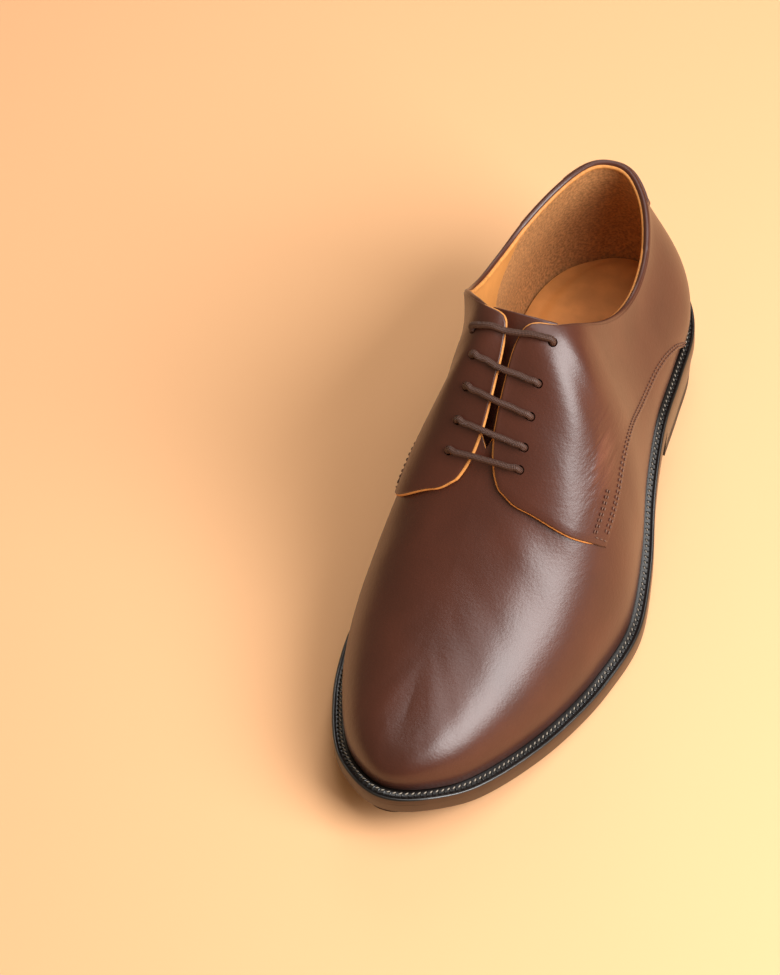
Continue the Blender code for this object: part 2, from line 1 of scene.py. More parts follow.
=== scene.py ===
"""Derby shoe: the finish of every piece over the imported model, laid out as a Blender add-on.

Metres, +Z up. The toe points to -Y and the outer (lateral) side is +X. A place on the shoe has a
side (1 lateral, -1 medial), a turn (0 at the back of the heel, 1 at the tip of the toe, along the
sole's edge) and a height along a rib that climbs from the sole to the top line or the ridge.
"""

import math
from types import SimpleNamespace

import bmesh
import bpy
import numpy as np
from bpy.props import FloatProperty, FloatVectorProperty, PointerProperty
from mathutils import Matrix, Vector


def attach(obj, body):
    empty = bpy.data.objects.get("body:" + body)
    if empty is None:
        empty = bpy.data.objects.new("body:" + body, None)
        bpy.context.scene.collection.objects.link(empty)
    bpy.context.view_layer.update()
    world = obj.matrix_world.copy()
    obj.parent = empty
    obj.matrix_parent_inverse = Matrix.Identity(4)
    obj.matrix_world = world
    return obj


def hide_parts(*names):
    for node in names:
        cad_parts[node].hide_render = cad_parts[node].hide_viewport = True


bl_info = {
    "name": "Derby Shoe",
    "version": (1, 0, 0),
    "blender": (4, 5, 0),
    "location": "View3D > Sidebar > Derby",
    "description": "Makes the finished pieces of a laced leather derby shoe",
    "category": "Add Mesh",
}

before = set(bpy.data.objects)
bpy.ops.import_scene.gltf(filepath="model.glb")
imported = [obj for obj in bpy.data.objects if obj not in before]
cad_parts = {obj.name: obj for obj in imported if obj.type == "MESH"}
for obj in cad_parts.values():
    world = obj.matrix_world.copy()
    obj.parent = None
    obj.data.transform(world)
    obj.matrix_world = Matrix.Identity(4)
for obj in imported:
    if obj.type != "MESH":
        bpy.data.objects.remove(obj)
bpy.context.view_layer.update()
BODY = "root"

OUTLINE = (
    # station, lateral half width and medial half width as shares of the ball width
    (0.00, 0.000, 0.000),
    (0.02, 0.157, 0.157),
    (0.06, 0.268, 0.273),
    (0.12, 0.338, 0.340),
    (0.20, 0.361, 0.352),
    (0.30, 0.384, 0.305),
    (0.40, 0.437, 0.275),
    (0.50, 0.512, 0.310),
    (0.60, 0.555, 0.396),
    (0.70, 0.516, 0.444),
    (0.80, 0.435, 0.415),
    (0.88, 0.341, 0.345),
    (0.94, 0.243, 0.262),
    (0.98, 0.130, 0.158),
    (1.00, -0.020, 0.020),
)
TREAD = (
    # station, share of the heel height, share of the toe spring
    (0.00, 1.000, 0.000),
    (0.27, 1.000, 0.000),
    (0.36, 0.820, 0.000),
    (0.46, 0.360, 0.000),
    (0.54, 0.080, 0.000),
    (0.60, 0.000, 0.000),
    (0.69, 0.000, 0.000),
    (0.78, 0.000, 0.110),
    (0.86, 0.000, 0.340),
    (0.93, 0.000, 0.620),
    (1.00, 0.000, 1.000),
)
MARGIN = (
    # turn, share of the way from the heel's margin to the forepart's
    (0.00, 0.0),
    (0.30, 0.0),
    (0.45, 0.2),
    (0.60, 1.0),
    (1.00, 1.0),
)
TOPLINE = (
    # turn, station, lateral and medial half width over the ball width,
    # share of the instep height in the reference height, lateral and medial height over that reference
    (0.000, 0.045, -0.040, 0.040, 0.0, 1.000, 1.000),
    (0.100, 0.059, 0.050, 0.138, 0.0, 0.984, 0.994),
    (0.200, 0.109, 0.141, 0.234, 0.0, 0.936, 0.938),
    (0.270, 0.165, 0.187, 0.295, 0.0, 0.881, 0.890),
    (0.330, 0.225, 0.203, 0.325, 0.0, 0.864, 0.878),
    (0.380, 0.285, 0.203, 0.335, 0.3, 0.847, 0.843),
    (0.420, 0.340, 0.196, 0.323, 0.7, 0.859, 0.845),
    (0.450, 0.382, 0.183, 0.285, 1.0, 0.888, 0.893),
    (0.475, 0.412, 0.158, 0.222, 1.0, 0.953, 0.958),
    (0.497, 0.433, 0.108, 0.156, 1.0, 0.988, 0.995),
    (0.515, 0.444, 0.030, 0.085, 1.0, 0.998, 1.003),
    (0.540, 0.468, -0.003, 0.063, 1.0, 0.962, 0.962),
    (0.570, 0.512, -0.009, 0.057, 1.0, 0.870, 0.870),
    (0.600, 0.556, -0.005, 0.061, 1.0, 0.768, 0.768),
    (0.620, 0.583, 0.001, 0.067, 1.0, 0.705, 0.705),
    (0.640, 0.607, 0.011, 0.077, 1.0, 0.652, 0.652),
)
RIDGE = (
    # turn, station, height over the instep height
    (0.420, 0.350, 1.180),
    (0.500, 0.425, 1.035),
    (0.560, 0.497, 0.905),
    (0.600, 0.556, 0.768),
    (0.620, 0.583, 0.705),
    (0.660, 0.625, 0.622),
    (0.720, 0.685, 0.530),
    (0.780, 0.737, 0.468),
    (0.840, 0.788, 0.420),
    (0.900, 0.836, 0.383),
    (0.950, 0.870, 0.358),
    (1.000, 0.892, 0.340),
)
CREST = (
    # station, height over the instep height, distance of the tongue's face under it (0 to 1)
    (0.400, 1.085, 1.0),
    (0.444, 1.003, 1.0),
    (0.468, 0.962, 1.0),
    (0.512, 0.870, 1.0),
    (0.556, 0.768, 1.0),
    (0.583, 0.705, 1.0),
    (0.607, 0.655, 0.7),
    (0.634, 0.606, 0.0),
    (0.685, 0.530, 0.0),
)
SHIFT = (
    # station, how far the ridge stands to the lateral side over the ball width
    (0.45, -0.033),
    (0.62, -0.033),
    (0.80, -0.024),
    (1.00, -0.018),
)
RIBS = (
    # turn, rise, lateral lean, medial lean, lateral reach, medial reach, drop
    (0.000, 0.40, 0.056, 0.056, 0.10, 0.10, 0.30),
    (0.200, 0.40, 0.058, 0.056, 0.15, 0.15, 0.30),
    (0.340, 0.42, 0.046, 0.060, 0.18, 0.25, 0.35),
    (0.420, 0.42, 0.045, 0.080, 0.24, 0.40, 0.34),
    (0.475, 0.42, 0.045, 0.105, 0.40, 0.64, 0.14),
    (0.515, 0.42, 0.045, 0.130, 0.47, 0.70, 0.02),
    (0.570, 0.45, 0.035, 0.100, 0.52, 0.69, -0.02),
    (0.640, 0.50, 0.050, 0.060, 0.50, 0.56, 0.00),
    (0.700, 0.50, 0.042, 0.056, 0.52, 0.54, 0.00),
    (0.800, 0.58, 0.030, 0.033, 0.58, 0.58, 0.00),
    (0.900, 0.70, 0.020, 0.020, 0.62, 0.62, 0.00),
    (1.000, 0.74, 0.015, 0.015, 0.65, 0.65, 0.00),
)
SEAM = (
    # turn, height along the rib of the quarter's lower edge
    (0.000, 0.000),
    (0.250, 0.000),
    (0.270, 0.100),
    (0.295, 0.230),
    (0.330, 0.335),
    (0.370, 0.390),
    (0.420, 0.425),
    (0.475, 0.410),
    (0.530, 0.385),
    (0.577, 0.385),
)
FRONT = (
    # height in the flap, turn of the quarter's front edge
    (-0.30, 0.547),
    (0.00, 0.577),
    (0.30, 0.607),
    (0.60, 0.624),
    (0.80, 0.631),
    (0.88, 0.631),
    (0.94, 0.626),
    (0.98, 0.615),
    (1.00, 0.603),
)
CREASE = (
    # height in the flap, turn at which the vamp passes under the flap's front edge
    (0.00, 0.577),
    (0.30, 0.597),
    (0.60, 0.612),
    (0.80, 0.619),
    (0.90, 0.619),
    (1.00, 0.613),
)
FOLDS = (
    # side, turn, height, reach along the turn, reach up the rib, slant, rise in metres
    (1, 0.560, 0.56, 0.030, 0.09, 0.0, -0.0006),
    (1, 0.500, 0.66, 0.040, 0.10, 0.0, -0.0006),
    (-1, 0.540, 0.62, 0.040, 0.10, 0.0, -0.0006),
    (1, 0.660, 0.72, 0.030, 0.10, 0.0, 0.0004),
    (-1, 0.660, 0.72, 0.030, 0.10, 0.0, 0.0004),
)
EYELETS = (
    # turn of the lateral and of the medial hole from the top, share of the inset of each
    (0.513, 0.506, 0.68, 0.78),
    (0.551, 0.536, 1.00, 1.00),
    (0.573, 0.560, 1.00, 1.00),
    (0.593, 0.583, 1.00, 1.00),
    (0.608, 0.604, 1.00, 1.00),
)
WELT_SECTION = (
    # share of the margin in from the edge, share of the welt's thickness above its underside
    (0.00, -0.15),
    (0.00, 0.74),
    (0.05, 0.84),
    (0.13, 0.92),
    (0.22, 0.88),
    (0.34, 0.78),
    (0.48, 0.80),
    (0.66, 0.92),
    (0.86, 1.00),
    (1.10, 1.00),
    (2.60, 1.00),
)
OUTLINE_TURNS = tuple((math.acos(1 - 2 * s) / math.pi, a, b) for s, a, b in OUTLINE)
TONGUE_TOP = 0.436
TONGUE_END = 0.634
TIP = 0.577
TIP_HEIGHT = SEAM[-1][1]
GAP = 0.0003
LIFT = 0.0042
LACE_UNDER = 0.0009
BREAST_HOLLOW = 0.0025
EDGE_BEVEL = 0.0005
STRAP_RISE = 0.0007
PUNCH_DEPTH = 0.012
EDGE_ANGLES = tuple(math.radians(a) for a in (30, 60, 90))
QUARTER_FINE = 90
VAMP_FINE = 60
WING_FINE = 14
UPPER_FINE = 44
SOLE_FINE = 150
RIM = len(EDGE_ANGLES)

size = SimpleNamespace()
tint = SimpleNamespace()


def back_of_heel():
    return size.heel_centre * size.length


def hermite(x, y, slope, at):
    """Cubic through points with the given slopes."""
    at = np.clip(at, x[0], x[-1])
    i = np.clip(np.searchsorted(x, at) - 1, 0, len(x) - 2)
    step = x[i + 1] - x[i]
    t = (at - x[i]) / step
    ends = y[i] * (1 + 2 * t) * (1 - t) ** 2 + y[i + 1] * t * t * (3 - 2 * t)
    return ends + step * (slope[i] * t * (1 - t) ** 2 - slope[i + 1] * t * t * (1 - t))


def smooth(rows, column, at, level_ends=False):
    """A table's column as a rounded curve."""
    table = np.array(rows, float)
    x, y = table[:, 0], table[:, column]
    slope = np.gradient(y, x)
    if level_ends:
        slope[0] = slope[-1] = 0.0
    return hermite(x, y, slope, at)


def steady(rows, column, at):
    """A table's column as a curve that stays between its rows."""
    table = np.array(rows, float)
    x, y = table[:, 0], table[:, column]
    rate = np.diff(y) / np.diff(x)
    slope = np.zeros(len(x))
    same = np.nonzero(rate[1:] * rate[:-1] > 0)[0]
    slope[same + 1] = 2 * rate[same + 1] * rate[same] / (rate[same + 1] + rate[same])
    return hermite(x, y, slope, at)


def ramp(x):
    x = np.clip(x, 0.0, 1.0)
    return x * x * (3 - 2 * x)


def of_side(side, lateral, medial):
    return np.where(side > 0, lateral, medial)


def around(side, turn):
    """Past either end of a side, the other side begins."""
    over = (turn < 0) | (turn > 1)
    turn = np.where(turn < 0, -turn, np.where(turn > 1, 2 - turn, turn))
    return np.where(over, -side, side), turn


def edge(side, turn):
    """Edge of the sole, seen from above."""
    side, turn = around(side, turn)
    half = of_side(side, smooth(OUTLINE_TURNS, 1, turn), smooth(OUTLINE_TURNS, 2, turn))
    station = (1 - np.cos(np.pi * turn)) / 2
    return np.stack([side * half * size.ball_width, back_of_heel() - station * size.length], -1)


def plan(side, turn, inset):
    """Edge of the sole moved inwards."""
    along = edge(side, turn + 0.002) - edge(side, turn - 0.002)
    along = along / np.linalg.norm(along, axis=-1, keepdims=True)
    inward = np.stack([along[..., 1], -along[..., 0]], -1) * np.asarray(side)[..., None]
    return edge(side, turn) + inward * np.asarray(inset)[..., None]


def tread(y):
    """Height of the outsole's underside."""
    station = (back_of_heel() - y) / size.length
    return size.heel_height * steady(TREAD, 1, station) + size.toe_spring * steady(TREAD, 2, station)


def margin(turn):
    """Width of welt that shows beside the upper."""
    return size.margin_heel + (size.margin_fore - size.margin_heel) * steady(MARGIN, 1, turn)


def foot(side, turn):
    """Where a rib starts, just above the welt."""
    xy = plan(side, turn, margin(turn))
    z = tread(xy[..., 1]) + size.outsole + size.welt + 2 * GAP
    return np.concatenate([xy, z[..., None]], -1)


def ridge(turn):
    """Where a rib of the vamp ends, on the line over the instep and the toes."""
    station = smooth(RIDGE, 1, turn, True)
    x = smooth(SHIFT, 1, station) * size.ball_width
    z = size.instep_height * smooth(RIDGE, 2, turn, True)
    return np.stack([x, back_of_heel() - station * size.length, z], -1)


def topline(side, turn):
    """Where a rib of the quarter ends, on the collar and then on the facing's edge."""
    station = smooth(TOPLINE, 1, turn, True)
    half = of_side(side, smooth(TOPLINE, 2, turn), smooth(TOPLINE, 3, turn))
    share = smooth(TOPLINE, 4, turn, True)
    reference = size.counter_height + (size.instep_height - size.counter_height) * share
    z = reference * of_side(side, smooth(TOPLINE, 5, turn, True), smooth(TOPLINE, 6, turn, True))
    return np.stack([side * half * size.ball_width, back_of_heel() - station * size.length, z], -1)


def base(side, turn, height, vamp=0.0):
    """Surface of the last: a rib is a cubic from its foot to its top. vamp blends quarter into vamp."""
    given = (side, turn, height, vamp)
    side, turn, height, vamp = np.broadcast_arrays(*(np.asarray(x, float) for x in given))
    side, turn = around(side, turn)
    start = foot(side, turn)
    outside = edge(side, turn) - plan(side, turn, np.full_like(turn, 0.001))
    outside = outside / np.linalg.norm(outside, axis=-1, keepdims=True)
    lean = of_side(side, smooth(RIBS, 2, turn), smooth(RIBS, 3, turn)) * size.ball_width
    reach = of_side(side, smooth(RIBS, 4, turn), smooth(RIBS, 5, turn))
    on_ridge = np.maximum(turn, RIDGE[0][0] + 0.04)
    forward = ridge(on_ridge) - ridge(on_ridge - 0.02)
    forward = forward / np.linalg.norm(forward, axis=-1, keepdims=True)
    turned = ramp((turn - 0.50) / 0.07)[..., None]
    level = forward * turned + (1 - turned) * [0.0, -1.0, 0.0]
    v = height[..., None]
    made = 0.0
    for end, ahead, share in ((topline(side, turn), level, 1 - vamp), (ridge(turn), forward, vamp)):
        rise = end[..., 2] - start[..., 2]
        span = start[..., :2] - end[..., :2]
        low, high = start.copy(), end.copy()
        low[..., :2] += outside * lean[..., None]
        low[..., 2] += smooth(RIBS, 1, turn) * rise
        high[..., 0] += reach * span[..., 0]
        high += ahead * (-reach * span[..., 1])[..., None]
        high[..., 2] -= smooth(RIBS, 6, turn) * rise
        rib = start * (1 - v) ** 3 + 3 * low * v * (1 - v) ** 2 + 3 * high * v * v * (1 - v) + end * v**3
        made = made + rib * share[..., None]
    return made


def outward(side, turn, height, vamp=0.0):
    """Unit normal of the last, level at the foot and upright across the ridge."""
    step = 0.003
    inner = np.clip(height, 0.01, 0.985)
    turn = np.asarray(turn, float)
    along = base(side, turn + step, inner, vamp) - base(side, turn - step, inner, vamp)
    up = base(side, turn, inner + step, vamp) - base(side, turn, inner - step, vamp)
    normal = np.cross(along, up) * -np.asarray(side, float)[..., None]
    normal[..., 2] = np.where(height <= 0.0, 0.0, normal[..., 2])
    normal[..., 0] = np.where((np.asarray(height) >= 1.0) & (np.asarray(vamp) >= 1.0), 0.0, normal[..., 0])
    return normal / np.linalg.norm(normal, axis=-1, keepdims=True)


def lifted(side, turn, height, offset, vamp=0.0):
    """A point of the last moved out along its normal."""
    normal = outward(side, turn, height, vamp)
    return base(side, turn, height, vamp) + normal * np.asarray(offset)[..., None]


def swell(side, turn, height):
    """Soft troughs and ridges of the quarter and the vamp."""
    total = 0.0
    for way, at, level, wide, tall, slant, rise in FOLDS:
        x = (turn - at) / wide
        y = (height - level - slant * (turn - at)) / tall
        total = total + np.where(side == way, rise, 0.0) * np.exp(-x * x - y * y)
    return total


def quarter_offset(u, w):
    """Height of the quarter's face over the last: it lifts towards the flap's front edge."""
    return size.overlay + size.flap_lift * ramp((u - 0.84) / 0.16) * ramp(w / 0.3)


def blend(u, w):
    """How far the quarter follows the vamp's surface, towards the tip of the flap."""
    return ramp((u - 0.7) / 0.3) * (1 - ramp(w / 0.5))


def unit(way):
    return way / np.linalg.norm(way, axis=-1, keepdims=True)


def along_turn(side, turn, height, vamp=0.0):
    """Unit direction of the last's surface towards the toe."""
    e = 0.002
    return unit(base(side, turn + e, height, vamp) - base(side, turn - e, height, vamp))


def up_rib(side, turn, height, vamp=0.0):
    """Unit direction of the last's surface towards the top line or the ridge."""
    e = 0.002
    level = np.minimum(np.asarray(height, float), 1.0 - e)
    return unit(base(side, turn, level + e, vamp) - base(side, turn, level - e, vamp))


def rolled(point, normal, way, angle):
    """A point carried round a rounded edge: angle 0 is on the face, a right angle on the edge."""
    swing = size.edge_round * np.sin(angle)
    sink = size.edge_round * (1 - np.cos(angle))
    return point + way * swing[..., None] - normal * sink[..., None]


def flap_rows():
    """Rows above the seam: place in the flap, roll round the lower edge, roll round the top edge."""
    share = 1 - (1 - np.linspace(0, 1, UPPER_FINE + 1)) ** 1.3
    rows = [(0.0, a, 0.0) for a in EDGE_ANGLES[::-1]]
    rows += [(w, 0.0, 0.0) for w in share]
    rows += [(1.0, 0.0, a) for a in EDGE_ANGLES]
    return np.array(rows).T[:, None, :]


def on_quarter(side, u, w):
    """Side, turn, height and vamp share of a place: u of the way to the front edge, w above the seam."""
    seam = steady(SEAM, 1, u * TIP)
    turn = u * steady(FRONT, 1, w)
    return side + 0 * turn, turn, seam + (1 - seam) * w, blend(u, w)


def quarter_line(side, u, w, over):
    """Points at a height over the quarter's face, and the normals there."""
    place = on_quarter(side, u, w)
    normal = outward(*place)
    return base(*place) + normal * (quarter_offset(u, w) + over)[..., None], normal


def quarter_grid(side, u, roll):
    """Outer points of the quarter for shares u of the way to its front edge, rolled at its edges."""
    w, low, top = flap_rows()
    u = u[:, None]
    place = on_quarter(side, u, w)
    point, normal = quarter_line(side, u, w, swell(*place[:3]))
    up = up_rib(*place)
    point = rolled(point, normal, along_turn(*place), roll[:, None] * ramp(w / 0.05))
    point = rolled(point, normal, -up, low + 0 * place[1])
    return rolled(point, normal, up, top + 0 * place[1]), normal


def vamp_grid(side, share):
    """Outer points and normals of the vamp, from under the flap's edge to the toe."""
    w = flap_rows()[0]
    crease = steady(CREASE, 1, w)
    turn = crease + (1 - crease) * share[:, None]
    height = TIP_HEIGHT + (1 - TIP_HEIGHT) * w + 0 * turn
    one = np.ones_like(turn)
    normal = outward(side * one, turn, height, one)
    return base(side, turn, height, one) + normal * swell(side, turn, height)[..., None], normal


def upper_grid(side):
    """Outer points, inner points and darkening mask of one side of the upper, by column and row: painted
    shade in a band just above the welt, and a burnished darker toe.
    """
    w = flap_rows()[0]
    u = np.concatenate([np.linspace(0, 1, QUARTER_FINE + 1), np.ones(RIM + 1)])
    roll = np.concatenate([np.zeros(QUARTER_FINE + 1), EDGE_ANGLES, EDGE_ANGLES[-1:]])
    share = np.linspace(0, 1, VAMP_FINE + 1)
    quarter, normal = quarter_grid(side, u, roll)
    drop = (size.flap_edge - size.edge_round) * ramp(w[0] / 0.2)
    quarter[-1] -= normal[-1] * drop[:, None]
    vamp, vamp_normal = vamp_grid(side, share)
    under_vamp = vamp - vamp_normal * size.wall
    inner_turn = u[:, None] * steady(CREASE, 1, w)
    seam = steady(SEAM, 1, u[:, None] * TIP)
    height = seam + (1 - seam) * w
    thin = np.full_like(inner_turn, -size.wall)
    under_quarter = lifted(side + 0 * inner_turn, inner_turn, height, thin, blend(u[:, None], w))
    under_quarter[QUARTER_FINE:] = under_vamp[0]
    turn = np.concatenate([u * TIP, TIP + (1 - TIP) * share])[:, None]
    top = np.concatenate([seam[:, 0], np.full(VAMP_FINE + 1, TIP_HEIGHT)])[:, None]
    mix = np.concatenate([blend(u, 0.0), np.ones(VAMP_FINE + 1)])[:, None]
    low = np.linspace(0, 1, WING_FINE + 1)[None] * top
    wing_normal = outward(side + 0 * low, turn + 0 * low, low, mix + 0 * low)
    wing = base(side, turn, low, mix) + wing_normal * swell(side, turn, low)[..., None]
    outer = np.hstack([wing, np.vstack([quarter, vamp])])
    inner = np.hstack([wing - wing_normal * size.wall, np.vstack([under_quarter, under_vamp])])
    above = np.broadcast_to(TIP_HEIGHT + w * (1 - TIP_HEIGHT), outer[:, WING_FINE + 1 :, 0].shape)
    level = np.hstack([low, above])
    # Painted shade: the calf darkens in a band just above the welt, where the upper meets it; towards the
    # toe's tip it darkens as a burnished finish
    shade = 0.55 * np.exp(-((level / 0.09) ** 2)) + 0.25 * ramp((turn - 0.86) / 0.14)
    return outer, inner, np.clip(shade, 0, 1)


def srgb(code):
    """sRGB hex code as linear RGBA."""
    values = [int(code[i : i + 2], 16) / 255 for i in (1, 3, 5)]
    linear = [v / 12.92 if v < 0.04045 else ((v + 0.055) / 1.055) ** 2.4 for v in values]
    return (*linear, 1.0)


def node(tree, kind, links=(), **settings):
    """Adds a node, sets its properties or inputs by name, then links or sets (source, input) pairs."""
    made = tree.nodes.new(kind)
    for name, value in settings.items():
        if hasattr(made, name):
            setattr(made, name, value)
        else:
            made.inputs[name.replace("_", " ")].default_value = value
    for source, target in links:
        if isinstance(source, bpy.types.NodeSocket):
            tree.links.new(source, made.inputs[target])
        else:
            made.inputs[target].default_value = source
    return made


def noise(tree, place, scale, detail):
    return node(tree, "ShaderNodeTexNoise", [(place, "Vector")], Scale=scale, Detail=detail).outputs["Fac"]


def mark(tree, name):
    """A number that the mesh carries at its points."""
    return node(tree, "ShaderNodeAttribute", attribute_name=name).outputs["Fac"]


def worked(tree, operation, *values):
    """Result of a math node on sockets or numbers."""
    return node(tree, "ShaderNodeMath", list(zip(values, (0, 1))), operation=operation).outputs[0]


def spread(tree, value, low, high, top=1.0):
    """A value from low to high carried to 0 to top."""
    made = node(tree, "ShaderNodeMapRange", [(value, "Value")], From_Min=low, From_Max=high, To_Max=top)
    return made.outputs["Result"]


def new_material(name, roughness, coat=0.0, gloss=0.5):
    """A new material, its node tree, its shader and the place on the object."""
    made = bpy.data.materials.new(name)
    made.use_nodes = True
    shader = made.node_tree.nodes["Principled BSDF"]
    shader.inputs["Roughness"].default_value = roughness
    shader.inputs["Coat Weight"].default_value = coat
    shader.inputs["Coat Roughness"].default_value = 0.25
    shader.inputs["Specular IOR Level"].default_value = gloss
    return made, made.node_tree, shader, node(made.node_tree, "ShaderNodeTexCoord").outputs["Object"]


def darker(colour, share):
    return (*(c * share for c in colour[:3]), 1.0)


def two_tone(tree, fac, low, high, start=0.35, end=0.65):
    """A colour ramp between two colours."""
    made = node(tree, "ShaderNodeValToRGB", [(fac, "Fac")])
    made.color_ramp.elements[0].position = start
    made.color_ramp.elements[1].position = end
    made.color_ramp.elements[0].color = low
    made.color_ramp.elements[1].color = high
    return made.outputs["Color"]


def mixed(tree, fac, first, second):
    """Mix of two colours, each a socket or a value."""
    links = [(fac, "Factor"), (first, 6), (second, 7)]
    return node(tree, "ShaderNodeMix", links, data_type="RGBA").outputs[2]


def finished(tree, shader, colour, *layers):
    """Gives the shader its colour and bumps of (height socket, strength, distance in millimetres)."""
    tree.links.new(colour, shader.inputs["Base Color"])
    normal = None
    for height, strength, distance in layers:
        links = [(height, "Height")] + ([(normal, "Normal")] if normal else [])
        bump = node(tree, "ShaderNodeBump", links, Strength=strength, Distance=distance / 1000)
        normal = bump.outputs["Normal"]
    tree.links.new(normal, shader.inputs["Normal"])


def calf_material():
    """Box calf, aniline dyed and hand polished: soft broad gloss over a grain that is hardly seen."""
    made, tree, shader, place = new_material("polished box calf", 0.36, 0.05, 0.55)
    # Clouds of about 22 mm, as the polish was worked in by hand
    body = two_tone(tree, noise(tree, place, 45.0, 5.0), darker(tint.calf, 0.82), tint.calf)
    # Darker calf: painted shade just above the welt, and the burnished toe
    dark = mixed(tree, mark(tree, "burnish"), body, tint.calf_shaded_and_burnished)
    # Fine crease lines 2 mm apart where the flap is sewn down: real in the bump, and a painted highlight
    # along them in a lighter calf
    turned = node(tree, "ShaderNodeMapping", [(place, "Vector")], Rotation=(0.0, 0.0, math.radians(-8)))
    turned.inputs["Scale"].default_value = (420.0, 45.0, 420.0)
    strain_sheen = worked(tree, "MULTIPLY", noise(tree, turned.outputs["Vector"], 1.0, 2.0), mark(tree, "pull"))
    colour = mixed(tree, spread(tree, strain_sheen, 0.30, 0.75, 0.35), dark, tint.calf_raw_and_sheen)
    # Grain of about 0.9 mm, drawn coarser than the real 0.3 mm so that it shows
    grain = node(tree, "ShaderNodeTexVoronoi", [(place, "Vector")], Scale=1100.0).outputs["Distance"]
    # Uneven wax of about 2.4 mm, which softens the highlights' edges
    haze = noise(tree, place, 420.0, 3.0)
    finished(tree, shader, colour, (grain, 0.12, 0.2), (haze, 0.22, 0.3), (strain_sheen, 0.6, 0.8))
    return made


def cloudy_material(name, colour, roughness, scale, bump_mm=0.1, coat=0.0, strength=0.4):
    """A surface of two close tones with a fine bump, both in clouds about 1 / scale metres across."""
    made, tree, shader, place = new_material(name, roughness, coat)
    cloud = noise(tree, place, scale, 5.0)
    tones = two_tone(tree, cloud, darker(colour, 0.75), colour)
    finished(tree, shader, tones, (cloud, strength, bump_mm))
    return made


def lining_material():
    """Vegetable tanned lining: smooth tan at the front, its suede side out round the heel."""
    made, tree, shader, place = new_material("tan lining leather", 0.62)
    # Nap of about 1.1 mm, coarser than the real one so that it shows
    nap = noise(tree, place, 900.0, 4.0)
    # Clouds of about 17 mm, as the tan took unevenly
    smooth_side = two_tone(tree, noise(tree, place, 60.0, 6.0), darker(tint.lining, 0.85), tint.lining)
    suede = two_tone(tree, nap, darker(tint.suede, 0.55), tint.suede)
    zone = spread(tree, mark(tree, "suede"), 0.49, 0.51)
    finished(tree, shader, mixed(tree, zone, smooth_side, suede), (nap, 0.35, 0.25))
    return made


def lace_material():
    """Waxed round cotton cord: fine woven strands that show as slanting beads, with painted shade in the
    grooves between them.
    """
    made, tree, shader, _ = new_material("waxed cotton cord", 0.60, 0.05)
    # Braid strands cross every 1.1 mm, six round the cord
    run = worked(tree, "MULTIPLY", mark(tree, "along"), 2 * math.pi / 0.0011)
    waves = []
    for strands in (6.0, -6.0):
        wind = worked(tree, "MULTIPLY", mark(tree, "around"), strands)
        waves.append(worked(tree, "SINE", worked(tree, "ADD", wind, run)))
    braid_with_groove_shade = spread(tree, worked(tree, "MULTIPLY", *waves), -1.0, 1.0)
    # Painted shade: the cord is darker where the strands sink into grooves, the low side of the same bump
    tones = two_tone(tree, braid_with_groove_shade, darker(tint.lace, 0.35), tint.lace, 0.2, 0.9)
    finished(tree, shader, tones, (braid_with_groove_shade, 0.7, 0.25))
    return made


def heel_material():
    """Stacked leather lifts, trimmed and burnished: fine dark glue lines at an even pitch."""
    made, tree, shader, place = new_material("burnished leather lifts", 0.36, 0.15)
    height = node(tree, "ShaderNodeSeparateXYZ", [(place, "Vector")]).outputs["Z"]
    line = spread(tree, worked(tree, "FRACT", worked(tree, "DIVIDE", height, LIFT)), 0.0, 0.12)
    # Stain that took unevenly, in clouds of about 7 mm
    cloud = noise(tree, place, 150.0, 4.0)
    body = two_tone(tree, cloud, darker(tint.sole_edge, 0.75), tint.sole_edge)
    colour = mixed(tree, line, darker(tint.sole_edge, 0.35), body)
    finished(tree, shader, colour, (line, 0.3, 0.1), (cloud, 0.2, 0.1))
    return made


def sole_material():
    """Oak-bark sole leather, its edge trimmed, stained and burnished with hot wax to a dull shine."""
    return cloudy_material("burnished sole leather", tint.sole_edge, 0.40, 120.0, 0.1, 0.1)


def linked(name, bm):
    """The bmesh as an object in the scene."""
    mesh = bpy.data.meshes.new(name)
    bm.to_mesh(mesh)
    bm.free()
    obj = bpy.data.objects.new(name, mesh)
    bpy.context.scene.collection.objects.link(obj)
    return obj


def finish_piece(name, bm, materials, replaces=(), slot=None, sharp=40):
    """The bmesh as a finished piece that rides on the shoe."""
    obj = linked(name, bm)
    obj.data.shade_smooth()
    obj.data.set_sharp_from_angle(angle=math.radians(sharp))
    for surface in materials:
        obj.data.materials.append(surface)
    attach(obj, BODY)
    if replaces:
        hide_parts(*replaces)
    return obj


def place_grid(bm, outer, inner=None, **marks):
    """A grid whose points go to outer, and keep their inner places and marks in layers."""
    columns, rows = len(outer) - 1, len(outer[0]) - 1
    layers = bm.verts.layers
    for name in marks:
        if name not in layers.float:
            layers.float.new(name)
    if "inner" not in layers.float_vector:
        layers.float_vector.new("inner")
    under = layers.float_vector["inner"]
    floats = {name: layers.float[name] for name in marks}
    made = bmesh.ops.create_grid(bm, x_segments=columns, y_segments=rows, size=1.0)["verts"]
    for v in made:
        i = round((v.co.x + 1) / 2 * columns)
        j = round((v.co.y + 1) / 2 * rows)
        v.co = outer[i][j]
        if inner is not None:
            v[under] = Vector(inner[i][j])
        for name, layer in floats.items():
            v[layer] = marks[name][i][j]


